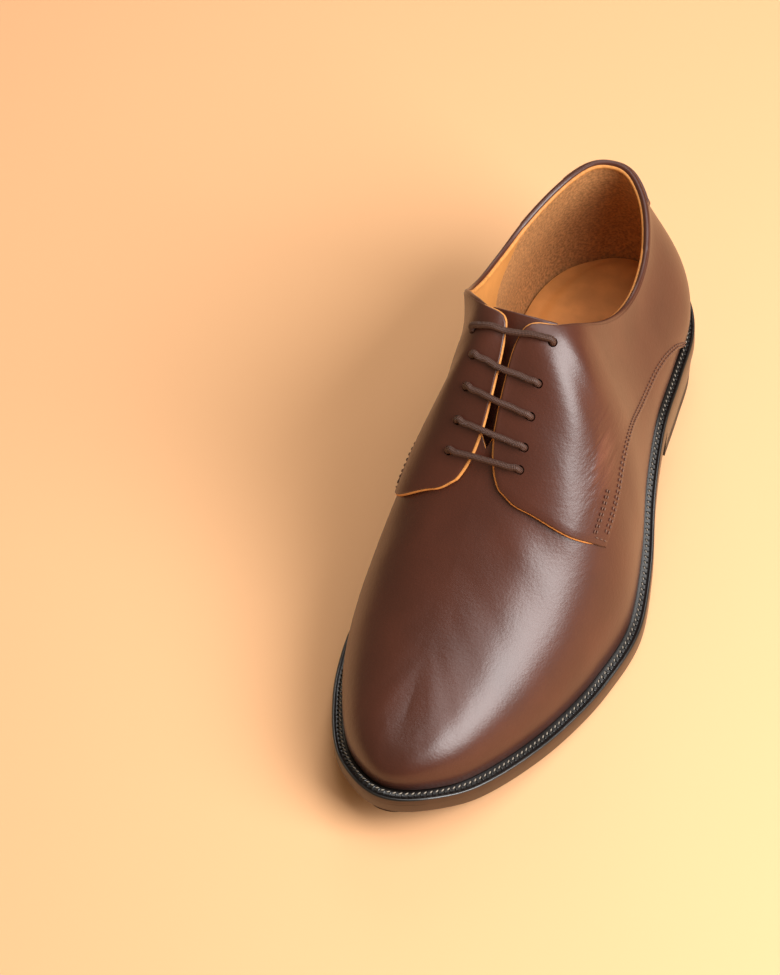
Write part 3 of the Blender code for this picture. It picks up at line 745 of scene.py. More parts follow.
def thicken(bm, inner_slot=0, rim_slot=0):
    """Welds the placed grids, copies them to their inner places and closes the rims."""
    under = bm.verts.layers.float_vector["inner"]
    bmesh.ops.remove_doubles(bm, verts=bm.verts, dist=1e-6)
    outer = set(bm.faces)
    made = bmesh.ops.extrude_face_region(bm, geom=bm.faces[:], use_keep_orig=True)["geom"]
    for item in made:
        if isinstance(item, bmesh.types.BMVert):
            item.co = item[under]
    inner = {item for item in made if isinstance(item, bmesh.types.BMFace)}
    for face in bm.faces:
        if face in inner:
            face.material_index = inner_slot
        elif face not in outer:
            face.material_index = rim_slot
    bmesh.ops.remove_doubles(bm, verts=bm.verts, dist=1e-6)
    bmesh.ops.dissolve_degenerate(bm, edges=bm.edges, dist=1e-7)
    bmesh.ops.recalc_face_normals(bm, faces=bm.faces)


def add_bevel(obj, width):
    bevel = obj.modifiers.new("edge", "BEVEL")
    bevel.width = width
    bevel.segments = 3
    bevel.limit_method = "ANGLE"
    bevel.angle_limit = math.radians(50)


def run_along(points):
    """Distance of each point from the first, along the path."""
    return np.concatenate([[0.0], np.cumsum(np.linalg.norm(np.diff(points, axis=0), axis=1))])


def frames_along(points):
    """Unit side and up directions along a path, carried on from an upright first one."""
    sides, ups = [], []
    up = np.array((0.0, 0.0, 1.0))
    for way in unit(np.gradient(points, axis=0)):
        up = unit(up - way * np.dot(up, way))
        ups.append(up)
        sides.append(np.cross(way, up))
    return np.array(sides), np.array(ups)


def sweep(bm, points, sides, ups, wide, tall, around=14):
    """Closed bar of oval section along points, with its run and turn in layers."""
    angles = np.linspace(0, 2 * math.pi, around + 1)[:, None]
    wide = np.broadcast_to(wide, len(points))[:, None, None]
    tall = np.broadcast_to(tall, len(points))[:, None, None]
    outer = points[:, None] + sides[:, None] * np.cos(angles) * wide + ups[:, None] * np.sin(angles) * tall
    along = np.repeat(run_along(points)[:, None], around + 1, axis=1)
    turn = np.repeat(angles.T, len(points), axis=0)
    place_grid(bm, outer, along=along, around=turn)
    bmesh.ops.remove_doubles(bm, verts=bm.verts, dist=1e-7)
    loose = [e for e in bm.edges if e.is_boundary]
    bmesh.ops.holes_fill(bm, edges=loose, sides=0)
    bmesh.ops.recalc_face_normals(bm, faces=bm.faces)


def tube(bm, points, radius):
    sweep(bm, points, *frames_along(points), radius, radius)


def evenly(points, spacing):
    """Points at an even spacing along a dense path."""
    run = run_along(points)
    even = np.linspace(0, run[-1], max(2, round(run[-1] / spacing) + 1))
    return np.stack([np.interp(even, run, points[:, i]) for i in range(3)], 1)


def stitch_row(bm, points, normals, pitch, length, radius, slant=0.0):
    """Short rounded threads along a path, each lying on the surface."""
    run = run_along(points)
    ways = unit(np.gradient(points, axis=0))
    for at in np.arange(pitch / 2, run[-1], pitch):
        place, normal, way = (
            np.array([np.interp(at, run, data[:, i]) for i in range(3)]) for data in (points, normals, ways)
        )
        normal = unit(normal)
        way = unit(way - normal * np.dot(way, normal))
        turned = way * math.cos(slant) + np.cross(normal, way) * math.sin(slant)
        rows = (turned * length / 2, np.cross(normal, turned) * radius, normal * radius)
        matrix = Matrix([tuple(row) for row in rows]).transposed().to_4x4()
        matrix.translation = Vector(place)
        bmesh.ops.create_uvsphere(bm, u_segments=6, v_segments=5, radius=1.0, matrix=matrix)


def colour_property(name, description, code):
    settings = {"subtype": "COLOR", "size": 4, "min": 0.0, "max": 1.0}
    return FloatVectorProperty(name=name, description=description, default=srgb(code), **settings)


def length_property(name, description, metres):
    return FloatProperty(name=name, description=description, default=metres, unit="LENGTH")


class DerbyColours(bpy.types.PropertyGroup):
    """Colours of the leathers, threads and edges."""

    calf: colour_property("Calf", "Brown of the upper's calf", "#4C2519")
    # Darker calf: painted shade just above the welt, and the burnished toe
    calf_shaded_and_burnished: colour_property("Calf, burnished", "Darker calf at the toe and over the welt", "#2A130B")
    # Lighter calf for the raw rim in the punched holes, and the painted highlight along the crease lines
    # near the flap's tip
    calf_raw_and_sheen: colour_property("Calf, strained", "Calf in strain lines and punched holes", "#8A5646")
    lining: colour_property("Lining", "Smooth tan lining and its cut edge", "#DD944C")
    suede: colour_property("Suede", "Suede side of the lining round the heel", "#CC8F58")
    sock: colour_property("Sock", "Tan leather that covers the insole", "#D28C4A")
    thread: colour_property("Seam thread", "Thread of the upper's seams", "#6B4A3B")
    welt: colour_property("Welt", "Black dressed welt", "#0E0B0A")
    welt_thread: colour_property("Welt thread", "Thread of the welt's stitches", "#A59A8B")
    sole_edge: colour_property("Sole edge", "Burnished edge of the sole and heel", "#402616")
    rubber: colour_property("Heel rubber", "Top piece of the heel", "#17120F")
    lace: colour_property("Lace", "Dark brown waxed cord", "#553426")
    floor: colour_property("Floor", "Pale floor under the shoe", "#F0BA88")


class DerbySizes(bpy.types.PropertyGroup):
    """Real sizes that the pieces are worked out from."""

    length: length_property("Length", "Length of the sole", 0.280)
    ball_width: length_property("Ball width", "Width of the sole at the ball", 0.107)
    heel_height: length_property("Heel height", "Height of the heel under the sole", 0.0205)
    heel_centre: FloatProperty(
        name="Heel centre",
        description="Origin ahead of the heel's back, as a share of the length",
        default=0.125,
    )
    heel_breast: FloatProperty(
        name="Heel breast",
        description="Front of the heel, as a share of the length",
        default=0.270,
    )
    top_piece: length_property("Top piece", "Thickness of the heel's rubber", 0.0060)
    outsole: length_property("Outsole", "Thickness of the outsole", 0.0052)
    welt: length_property("Welt", "Thickness of the welt", 0.0033)
    margin_fore: length_property("Fore margin", "Welt that shows at the forepart", 0.0050)
    margin_heel: length_property("Heel margin", "Welt that shows at the heel", 0.0042)
    insole: length_property("Insole", "Thickness of the insole", 0.0025)
    toe_spring: length_property("Toe spring", "Rise of the toe", 0.0150)
    instep_height: length_property("Instep height", "Height of the facings' top", 0.1215)
    counter_height: length_property("Counter height", "Height of the collar at the heel", 0.0935)
    wall: length_property("Wall", "Thickness of the upper", 0.0016)
    overlay: length_property("Overlay", "Thickness of the quarter over the vamp", 0.0012)
    flap_lift: length_property("Flap lift", "Lift of the quarter's front edge", 0.0012)
    flap_edge: length_property("Flap edge", "Thickness of the quarter's front edge", 0.0019)
    edge_round: length_property("Edge round", "Radius of a leather edge", 0.0006)
    eyelet_radius: length_property("Eyelet radius", "Radius of a lace hole", 0.0019)
    eyelet_inset: length_property("Eyelet inset", "Lace hole to the facing's edge", 0.0135)
    lace_radius: length_property("Lace radius", "Radius of the lace", 0.0013)
    tongue_half: length_property("Tongue half width", "Half the width of the tongue", 0.0185)
    tongue_radius: length_property("Tongue radius", "Radius of the tongue's arch", 0.0235)
    stitch_pitch: length_property("Stitch pitch", "Spacing of the seam's stitches", 0.0023)


def read_sizes(context):
    """Copies the sizes and colours set in the sidebar to where the functions read them."""
    for name in DerbySizes.__annotations__:
        setattr(size, name, getattr(context.scene.derby_sizes, name))
    for name in DerbyColours.__annotations__:
        setattr(tint, name, tuple(getattr(context.scene.derby_colours, name)))


def eyelet(side, row):
    """Turn and height of an eyelet: a fixed distance along the rib from the facing's edge."""
    turn, share = EYELETS[row][::2] if side > 0 else EYELETS[row][1::2]
    heights = np.linspace(0.6, 1.0, 81)
    points = base(side, turn, heights)
    steps = np.linalg.norm(np.diff(points, axis=0), axis=1)
    left = np.append(np.cumsum(steps[::-1])[::-1], 0.0)
    return turn, float(np.interp(-size.eyelet_inset * share, -left, heights))


def facing_offset(turn, height):
    """Height of the quarter's face over the last at a turn and height near the facing's edge."""
    seam = steady(SEAM, 1, np.asarray(turn) * TIP / 0.63)
    w = (np.asarray(height) - seam) / (1 - seam)
    return quarter_offset(np.asarray(turn) / steady(FRONT, 1, w), w)


def eyelet_axes():
    """Centre and outward direction of each lace hole."""
    for side in (1.0, -1.0):
        for row in range(len(EYELETS)):
            turn, height = eyelet(side, row)
            yield base(side, turn, height), outward(np.array(side), turn, height)


def cut_eyelets(obj, raw_slot):
    """Cuts the lace holes and gives their walls the raw leather's slot."""
    bm = bmesh.new()
    axes = list(eyelet_axes())
    radius = size.eyelet_radius
    for at, normal in axes:
        turned = Vector(normal).to_track_quat("Z", "Y").to_matrix().to_4x4()
        turned.translation = Vector(at)
        bmesh.ops.create_cone(
            bm, cap_ends=True, segments=24, radius1=radius, radius2=radius, depth=PUNCH_DEPTH, matrix=turned
        )
    punches = linked("punches", bm)
    holes = obj.modifiers.new("eyelets", "BOOLEAN")
    holes.solver = "MANIFOLD"
    holes.object = punches
    bpy.context.view_layer.update()
    cut = bpy.data.meshes.new_from_object(obj.evaluated_get(bpy.context.evaluated_depsgraph_get()))
    obj.modifiers.clear()
    obj.data = cut
    bpy.data.objects.remove(punches, do_unlink=True)
    for face in cut.polygons:
        for at, normal in axes:
            away = np.array(face.center) - at
            deep = np.dot(away, normal)
            wide = np.linalg.norm(away - normal * deep)
            across = abs(np.dot(np.array(face.normal), normal)) < 0.5
            if across and wide < radius * 1.01 and abs(deep) < PUNCH_DEPTH / 2:
                face.material_index = raw_slot


class DERBY_OT_upper(bpy.types.Operator):
    """Makes the hollow upper: vamp, quarters, facings and lining"""

    bl_idname = "derby.upper"
    bl_label = "Upper"

    def execute(self, context):
        read_sizes(context)
        bm = bmesh.new()
        halves = [upper_grid(side) for side in (1, -1)]
        for layer in (0, 1):
            round_toe(halves[0][layer], halves[1][layer])
        for side, (outer, inner, burnish) in zip((1, -1), halves):
            column = np.broadcast_to(np.arange(len(outer))[:, None], burnish.shape)
            row = np.broadcast_to(np.arange(burnish.shape[1])[None], burnish.shape)
            suede = suede_zone(column, row)
            pull = strain_sheen_zone(side, column, row)
            place_grid(bm, outer, inner, burnish=burnish, column=column, row=row, suede=suede, pull=pull)
        thicken(bm, 1, 1)
        mark_flap_edge(bm)
        ease_ridge(bm)
        # Punched through by hand: a dry reddish rim in each hole
        raw = cloudy_material("raw calf edge", tint.calf_raw_and_sheen, 0.7, 600.0)
        leathers = [calf_material(), lining_material(), raw]
        obj = finish_piece("finished_upper", bm, leathers, ["upper"], "calf")
        cut_eyelets(obj, 2)
        return {"FINISHED"}


def round_toe(lateral, medial):
    """Carries both halves smoothly over the tip of the toe, where their ribs meet in a hollow."""
    reach, inside, outside = 20, 7, 12
    level = ramp((lateral[-1, :, 2] - 0.0335) / 0.003)[None, :, None]
    curve = np.concatenate((lateral[-reach:], medial[-2 : -reach - 1 : -1]))
    t = np.arange(1 - reach, reach)
    basis = np.vander(t / reach, 5)
    ring = np.abs(t) > inside
    shares = np.linalg.lstsq(basis[ring], curve[ring].reshape(ring.sum(), -1), rcond=None)[0]
    even = (basis @ shares).reshape(curve.shape)
    near = ramp((outside - np.abs(t)) / (outside - inside))[:, None, None]
    curve = curve + (even - curve) * near * level
    lateral[-reach:] = curve[:reach]
    medial[-reach:] = curve[: reach - 2 : -1]


def ease_ridge(bm):
    """Evens out the vamp where the ribs of both sides meet over the toes."""
    columns, rows = bm.verts.layers.float["column"], bm.verts.layers.float["row"]
    axes = {"use_axis_x": True, "use_axis_y": True, "use_axis_z": True}
    zones = (
        # first column, first row, rounds of smoothing
        (QUARTER_FINE + RIM + 2 + VAMP_FINE // 3, WING_FINE + RIM + UPPER_FINE - 8, 14),
        (QUARTER_FINE + RIM + VAMP_FINE - 15, WING_FINE + RIM + UPPER_FINE - 28, 60),
    )
    for column, row, rounds in zones:
        verts = [v for v in bm.verts if v[columns] > column and v[rows] > row]
        for _ in range(rounds):
            bmesh.ops.smooth_vert(bm, verts=verts, factor=0.5, **axes)


def suede_zone(column, row):
    """Over one half where the lining's suede side is out: behind a curved seam near the heel."""
    u = column / QUARTER_FINE
    w = np.clip((row - WING_FINE - RIM) / UPPER_FINE, 0, 1)
    turn = u * steady(FRONT, 1, w)
    seam = 0.275 + 0.085 * np.sin(np.pi * np.clip(1 - w, 0, 0.8) * 0.8)
    return np.clip(0.5 + (seam - turn) * 12, 0, 1)


def strain_sheen_zone(side, column, row):
    """Where the calf is strained by the stitches that hold the flap's tip down: real creases, and a painted
    highlight along them, full on the lit lateral side and half on the medial.
    """
    w = (row - WING_FINE - RIM) / UPPER_FINE
    near = np.exp(-(((column - 0.885 * QUARTER_FINE) / 7.0) ** 2) - ((w - 0.17) / 0.10) ** 2)
    return near * (1.0 if side > 0 else 0.5) * (column <= QUARTER_FINE)


def mark_flap_edge(bm):
    """The flap's cut edge shows its tan lining, except near the tip; the throat's rim is dark."""
    columns, rows = bm.verts.layers.float["column"], bm.verts.layers.float["row"]
    edge_column = QUARTER_FINE + RIM
    first_row = WING_FINE + 1 + RIM + round(UPPER_FINE * 0.22)
    for face in bm.faces:
        found = [v[columns] for v in face.verts]
        if face.material_index == 0:
            low = min(v[rows] for v in face.verts)
            if min(found) >= edge_column and max(found) <= edge_column + 1 and low >= first_row:
                face.material_index = 1
        elif min(found) > QUARTER_FINE and len({round(c) for c in found}) > 1:
            face.material_index = 0


def across_sole(inset, turns, z, columns=10, hollow=0.0):
    """Grid of points between the medial and the lateral edge, at the heights that z gives."""
    lateral = plan(np.ones_like(turns), turns, inset)
    medial = plan(-np.ones_like(turns), turns, inset)
    share = np.linspace(0, 1, columns + 1)[None, :, None]
    xy = medial[:, None] * (1 - share) + lateral[:, None] * share
    xy[..., 1] += hollow * (turns / turns[-1])[:, None] ** 4 * (1 - (2 * share[..., 0] - 1) ** 2)
    return np.concatenate([xy, z(xy[..., 1])[..., None]], -1)


def slab(top, bottom):
    bm = bmesh.new()
    place_grid(bm, top, bottom)
    thicken(bm)
    return bm


class DERBY_OT_sole(bpy.types.Operator):
    """Makes the outsole and the two pieces of the stacked heel"""

    bl_idname = "derby.sole"
    bl_label = "Outsole and heel"

    def execute(self, context):
        read_sizes(context)
        turns = np.linspace(0, 1, SOLE_FINE + 1)
        top = across_sole(0 * turns, turns, lambda y: tread(y) + size.outsole)
        bm = slab(top, across_sole(0 * turns, turns, tread))
        folds = [e for e in bm.edges if e.calc_face_angle(0.0) > 0.9]
        low = [e for e in folds if all(v.co.z < tread(v.co.y) + size.outsole / 2 for v in e.verts)]
        bevel = {"offset": 0.0010, "offset_type": "OFFSET", "affect": "EDGES", "segments": 3}
        bmesh.ops.bevel(bm, geom=low, profile=0.5, material=-1, **bevel)
        finish_piece("finished_outsole", bm, [sole_material()], ["outsole"], "sole")
        turns = np.linspace(0, math.acos(1 - 2 * size.heel_breast) / math.pi, 61)
        # Moulded rubber: flat black with a faint speckle
        rubber = cloudy_material("black heel rubber", tint.rubber, 0.55, 500.0, 0.05)
        stack = heel_material()
        lifts = size.heel_height - GAP
        pieces = (
            # node, slot, material, top, underside, inset at the top and at the underside
            ("heel_stack", "sole", stack, lifts, size.top_piece + GAP, 0.0006, 0.0018),
            ("heel_top_piece", "rubber", rubber, size.top_piece, 0.0, 0.0018, 0.0022),
        )
        for name, slot, surface, high, low, inset, lower_inset in pieces:
            top, bottom = (
                across_sole(0 * turns + way, turns, lambda y: 0 * y + z, 10, BREAST_HOLLOW)
                for way, z in ((inset, high), (lower_inset, low))
            )
            obj = finish_piece("finished_" + name, slab(top, bottom), [surface], [name], slot)
            add_bevel(obj, EDGE_BEVEL)
        return {"FINISHED"}


def welt_loop(inset_share, rise):
    """Closed loop of points of the welt's section, up the lateral side and back down the medial."""
    turns = np.linspace(0, 1, SOLE_FINE + 1)
    loops = []
    for side in (1.0, -1.0):
        xy = plan(np.full_like(turns, side), turns, margin(turns) * inset_share)
        z = tread(xy[:, 1]) + size.outsole + GAP + size.welt * rise
        loops.append(np.column_stack([xy, z]))
    return np.vstack([loops[0], loops[1][-2::-1]])


class DERBY_OT_welt(bpy.types.Operator):
    """Makes the stitched welt round the whole sole"""

    bl_idname = "derby.welt"
    bl_label = "Welt"

    def execute(self, context):
        read_sizes(context)
        bm = bmesh.new()
        section = (*WELT_SECTION, (WELT_SECTION[-1][0], 0.0), WELT_SECTION[0])
        grid = np.stack([welt_loop(inset, rise) for inset, rise in section], 1)
        place_grid(bm, grid, section=np.broadcast_to(np.arange(grid.shape[1])[None], grid.shape[:2]))
        rows = bm.verts.layers.float["section"]
        for face in bm.faces:
            found = [v[rows] for v in face.verts]
            face.material_index = 1 if min(found) < 1 and max(found) < 2 else 0
        bmesh.ops.remove_doubles(bm, verts=bm.verts, dist=1e-6)
        bmesh.ops.recalc_face_normals(bm, faces=bm.faces)
        # Dressed black and waxed: a wet shine along its ridge
        black = cloudy_material("black dressed welt leather", tint.welt, 0.30, 400.0, 0.1, 0.5)
        finish_piece("finished_welt", bm, [black, sole_material()], ["welt"], "welt", 60)
        # Waxed linen pulled tight: small dull beads
        thread = cloudy_material("waxed linen thread", tint.welt_thread, 0.6, 900.0)
        rows = (
            # name, material, place across the welt, height, length, radius, slant
            ("welt_stitches", thread, 0.66, 0.97, 0.0016, 0.00028, 0.5),
            ("welt_notches", black, 0.60, 0.90, 0.0026, 0.00045, 1.35),
        )
        for name, surface, inset, rise, length, radius, slant in rows:
            points = evenly(welt_loop(inset, rise), 0.0008)
            normals = np.broadcast_to((0.0, 0.0, 1.0), points.shape)
            bm = bmesh.new()
            stitch_row(bm, points, normals, size.stitch_pitch, length, radius, slant)
            finish_piece(name, bm, [surface], (), "welt")
        return {"FINISHED"}


class DERBY_OT_inside(bpy.types.Operator):
    """Makes the insole with its heel pad"""

    bl_idname = "derby.inside"
    bl_label = "Insole"

    def execute(self, context):
        read_sizes(context)
        turns = np.linspace(0, 1, 101)
        inset = margin(turns) + size.wall + 0.0006
        seat = size.outsole + size.welt + 2 * GAP
        top = across_sole(inset, turns, lambda y: tread(y) + seat + size.insole, 40)
        pad = ramp((1.12 - np.hypot(top[..., 0] / 0.0225, (top[..., 1] + 0.012) / 0.036)) / 0.12)
        top[..., 2] += 0.0009 * pad
        bm = slab(top, across_sole(inset, turns, lambda y: tread(y) + seat, 40))
        # Glued in with its smooth side up: soft tan with faint clouds
        tan = cloudy_material("tan sock leather", tint.sock, 0.5, 80.0, 0.1, 0.1)
        finish_piece("finished_insole", bm, [tan], ["insole"], "lining")
        return {"FINISHED"}


def tongue_face(station, more, angles):
    """One arc of the tongue, hung under the crest of the facings."""
    e = 0.01
    z = size.instep_height * smooth(CREST, 1, station)
    rise = smooth(CREST, 1, station + e) - smooth(CREST, 1, station - e)
    slope = size.instep_height * rise / (2 * e * size.length)
    down = np.array([0.0, -slope, -1.0]) / math.hypot(slope, 1.0)
    shallow = size.wall + 2 * GAP
    deep = size.wall + GAP + 3 * size.lace_radius + 0.0017
    depth = shallow + (deep - shallow) * steady(CREST, 2, station) + more
    radius = size.tongue_radius - more
    x = smooth(SHIFT, 1, station) * size.ball_width
    place = np.array([x, back_of_heel() - station * size.length, z])
    points = place + down * depth + np.outer(radius * (1 - np.cos(angles)), down)
    points[:, 0] += radius * np.sin(angles)
    return points


class DERBY_OT_tongue(bpy.types.Operator):
    """Makes the tongue under the facings"""

    bl_idname = "derby.tongue"
    bl_label = "Tongue"

    def execute(self, context):
        read_sizes(context)
        stations = np.linspace(TONGUE_END, TONGUE_TOP, 60)
        angles = np.linspace(-1, 1, 31)
        top, bottom = [], []
        for share, station in zip(np.linspace(0, 1, len(stations)), stations):
            half = size.tongue_half * (1 - 0.4 * (1 - share) ** 4) * math.sqrt(1 - 0.45 * share**12)
            arch = half / size.tongue_radius
            top.append(tongue_face(station, 0.0, angles * arch))
            bottom.append(tongue_face(station, size.wall, angles * arch))
        bm = slab(np.array(top), np.array(bottom))
        obj = finish_piece("finished_tongue", bm, [calf_material()], ["tongue"], "calf")
        add_bevel(obj, EDGE_BEVEL)
        return {"FINISHED"}


def under(side, turn, height):
    """A point under the facing, where the inner wall turns from the quarter's into the vamp's."""
    crease = steady(CREASE, 1, (height - TIP_HEIGHT) / (1 - TIP_HEIGHT))
    vamp = np.clip((turn / crease - 1) * 22 + 1, 0.0, 1.0)
    deep = size.wall + GAP + size.lace_radius + LACE_UNDER
    return lifted(np.array(float(side)), turn, height, -deep, vamp)


def through_hole(side, row, outwards):
    """Lace centres through one eyelet, from under the facing to over it."""
    turn, height = eyelet(side, row)
    over = facing_offset(turn, height)
    points = [under(side, turn, height)]
    levels = ((-size.wall / 2, 0.0), (over + GAP, 0.0), (over + size.lace_radius, size.lace_radius))
    for level, shift in levels:
        up = height + shift / size.eyelet_inset * (1 - height)
        points.append(lifted(np.array(float(side)), turn, up, level))
    return points if outwards else points[::-1]


def crossing(side, row):
    """Turn at which the straight way between two eyelets crosses one facing's edge."""
    near, far = (base(way, *eyelet(way, row)) for way in (side, -side))
    turns = np.linspace(0.495, TOPLINE[-1][0], 80)
    edge_points = topline(np.full_like(turns, side), turns)
    share = (edge_points[:, 0] - near[0]) / (far[0] - near[0])
    ahead = edge_points[:, 1] - (near[1] + (far[1] - near[1]) * share)
    return float(np.interp(0.0, -ahead, turns))


def bar(side, row):
    """Lace centres over the facings, straight from one eyelet to the one across."""
    centres = []
    shares = np.array([0.30, 0.62, 1.0])
    for way in (side, -side):
        turn, height = eyelet(way, row)
        turns = turn + (crossing(way, row) - turn) * shares
        heights = height + (1 - height) * shares
        over = facing_offset(turns, heights) + size.lace_radius + 0.0001
        part = lifted(np.full(3, float(way)), turns, heights, over)
        centres.append(part if way == side else part[::-1])
    return [*centres[0], *centres[1]]


def lace_route():
    """The lace from under the lowest medial eyelet to under the top lateral one."""
    last = len(EYELETS) - 1
    side = -1
    route = [under(side, *eyelet(side, last))]
    for row in range(last, -1, -1):
        route += through_hole(side, row, True)[1:]
        route += bar(side, row)
        route += through_hole(-side, row, False)[:-1]
        side = -side
        if row:
            a, b = eyelet(side, row), eyelet(side, row - 1)
            for share in (0.0, 0.33, 0.67, 1.0):
                route.append(under(side, *(a[i] * (1 - share) + b[i] * share for i in (0, 1))))
    route.append(under(side, *eyelet(side, 0)))
    return np.array(route)


def rounded(points, spacing):
    """Evenly spaced points on a smooth curve through a route."""
    gaps = np.sqrt(np.linalg.norm(np.diff(points, axis=0), axis=1))
    at = np.concatenate([[0.0], np.cumsum(gaps)])
    slopes = np.gradient(points, at, axis=0)
    fine = np.linspace(0, at[-1], 3000)
    dense = np.stack([hermite(at, points[:, i], slopes[:, i], fine) for i in range(3)], 1)
    return evenly(dense, spacing)


class DERBY_OT_laces(bpy.types.Operator):
    """Runs the lace through the ten eyelets"""

    bl_idname = "derby.laces"
    bl_label = "Laces"

    def execute(self, context):
        read_sizes(context)
        bm = bmesh.new()
        tube(bm, rounded(lace_route(), 0.0007), size.lace_radius)
        finish_piece("finished_laces", bm, [lace_material()], ["laces"], "lace")
        return {"FINISHED"}


def collar_path(offset, rise):
    """The collar's rim from the lateral facing round the heel to the medial one."""
    turns = np.linspace(0.505, 0.0, 120)
    level = np.ones_like(turns)
    sides = []
    for side in (1.0, -1.0):
        way = side * level
        points = lifted(way, turns, level, level * (size.overlay - size.wall) / 2 + offset)
        sides.append(points + up_rib(way, turns, level) * rise)
    return np.vstack([sides[0], sides[1][-2::-1]])


def rim_bar(name, offset, rise, radius, least, material, slot):
    """A round bar along the collar's rim, thinner towards its ends; radius takes the share of the way."""
    points = evenly(collar_path(offset, rise), 0.0012)
    share = np.linspace(0, 1, len(points))
    ends = np.sqrt(np.clip(np.minimum(share, 1 - share) / 0.04, least, 1.0))
    bm = bmesh.new()
    tube(bm, points, radius(share) * ends)
    finish_piece(name, bm, [material], (), slot)


def binding_radius(share):
    """Thicker round the back of the heel."""
    return 0.00135 - 0.00025 * ramp((np.abs(share - 0.5) - 0.155) / 0.006)


def strap_place(across):
    """Side, turn and height of the strap's rounded lower edge, across from -1 to 1."""
    return np.where(across >= 0, 1.0, -1.0), 0.17 * np.abs(across), 0.66 + 0.30 * np.abs(across) ** 2.4


class DERBY_OT_collar(bpy.types.Operator):
    """Makes the rolled binding of the collar and the strap over the heel's back seam"""

    bl_idname = "derby.collar"
    bl_label = "Collar"

    def execute(self, context):
        read_sizes(context)
        calf = calf_material()
        rim_bar("collar_binding", 0.0, 0.0004, binding_radius, 0.15, calf, "calf")
        # Lining turned over the collar's edge: a bright dry line
        tan = cloudy_material("rolled lining edge", tint.lining, 0.6, 700.0, 0.05)
        rim_bar("collar_lining", -0.0013, -0.0002, lambda share: 0.0009, 0.1, tan, "lining")
        self.add_strap(calf)
        return {"FINISHED"}

    def add_strap(self, calf):
        """A shallow overlay: widest at the collar and rounded below, with a double row of stitches."""
        across = np.linspace(-1, 1, 41)[:, None]
        share = np.linspace(0, 1, 25)[None]
        side, turn, low = strap_place(across)
        height = low + (1 - low) * share
        side, turn = side + 0 * share, turn + 0 * share
        rise = STRAP_RISE * ramp(share / 0.10) * ramp((1 - np.abs(across)) / 0.06)
        outer = lifted(side, turn, height, size.overlay + rise - 0.00005)
        inner = lifted(side, turn, height, 0 * rise + size.overlay - 0.0003)
        finish_piece("back_strap", slab(outer, inner), [calf], (), "calf")
        bm = bmesh.new()
        rib = 0.085
        for inset in (0.0016, 0.0034):
            side, turn, low = strap_place(np.linspace(-0.93, 0.93, 160))
            low = low + inset / rib
            points = lifted(side, turn, low, 0 * turn + size.overlay + STRAP_RISE)
            stitch_row(bm, points, outward(side, turn, low), 0.0022, 0.0017, 0.00026)
        finish_piece("strap_stitches", bm, [seam_thread()], (), "calf")


def flap_edge(side):
    """Places, normals and ways out of the flap along its top edge, its facing and its front edge."""
    u = np.concatenate([np.linspace(0.80, 1, 80), np.ones(220)])
    w = np.concatenate([np.ones(80), np.linspace(1, 0.07, 221)[1:]])
    face, normal = quarter_line(side, u, w, 0.0)
    return face, normal, unit(np.cross(unit(np.gradient(face, axis=0)), normal)) * side


class DERBY_OT_lining_edge(bpy.types.Operator):
    """Makes the tan edge of the lining that shows round each flap"""

    bl_idname = "derby.lining_edge"
    bl_label = "Lining edge"

    def execute(self, context):
        read_sizes(context)
        # Cut with a knife: a dry, slightly rough tan line
        tan = cloudy_material("cut lining edge", tint.lining, 0.55, 700.0, 0.05)
        for side, name in ((1, "lateral_lining_edge"), (-1, "medial_lining_edge")):
            face, normal, out = flap_edge(side)
            share = np.linspace(0, 1, len(face))
            taper = np.sqrt(np.clip(np.minimum(share, 1 - share) / 0.05, 0.04, 1.0))
            centre = face - normal * 0.00125 + out * 0.0004
            bm = bmesh.new()
            sweep(bm, centre, out, normal, 0.0007 * taper, (0.00085 if side < 0 else 0.0007) * taper, 10)
            finish_piece(name, bm, [tan], (), "lining")
        return {"FINISHED"}


def seam_thread():
    """Twisted thread in the calf's own brown: matt dots in a shiny face."""
    return cloudy_material("brown seam thread", tint.thread, 0.6, 900.0)


def seam_path(side, inset):
    """A line on the quarter at a distance above its lower edge."""
    turns = np.linspace(0.252, TIP * 0.985, 260)
    low, high = (base(float(side), turns, level) for level in (0.45, 0.55))
    rib = np.linalg.norm(high - low, axis=-1) * 10
    w = inset / rib / (1 - steady(SEAM, 1, turns))
    return quarter_line(side, turns / TIP, w, 0.0002)


class DERBY_OT_stitches(bpy.types.Operator):
    """Sews the quarters to the vamp: a double row along the seam and a short tab at the tip"""

    bl_idname = "derby.stitches"
    bl_label = "Seam stitches"

    def execute(self, context):
        read_sizes(context)
        bm = bmesh.new()
        up = np.linspace(0.0, 0.12, 160)
        back = np.linspace(0.99, 0.925, 60)
        for side in (1, -1):
            rows = [seam_path(side, inset) for inset in (0.0013, 0.0033)]
            rows.append(quarter_line(side, 0 * up + 1 - 0.0016 / 0.235, up, 0.0001))
            rows += [quarter_line(side, back, 0 * back + w, 0.0002) for w in (0.105, 0.125)]
            for points, normals in rows:
                stitch_row(bm, points, normals, size.stitch_pitch, 0.0016, 0.00034)
        finish_piece("seam_stitches", bm, [seam_thread()], (), "calf")
        return {"FINISHED"}


def add_floor():
    bm = bmesh.new()
    bmesh.ops.create_grid(bm, x_segments=1, y_segments=1, size=3.0)
    floor = linked("floor", bm)
    made, _, shader, _ = new_material("pale paper floor", 0.85)
    shader.inputs["Base Color"].default_value = tint.floor
    floor.data.materials.append(made)


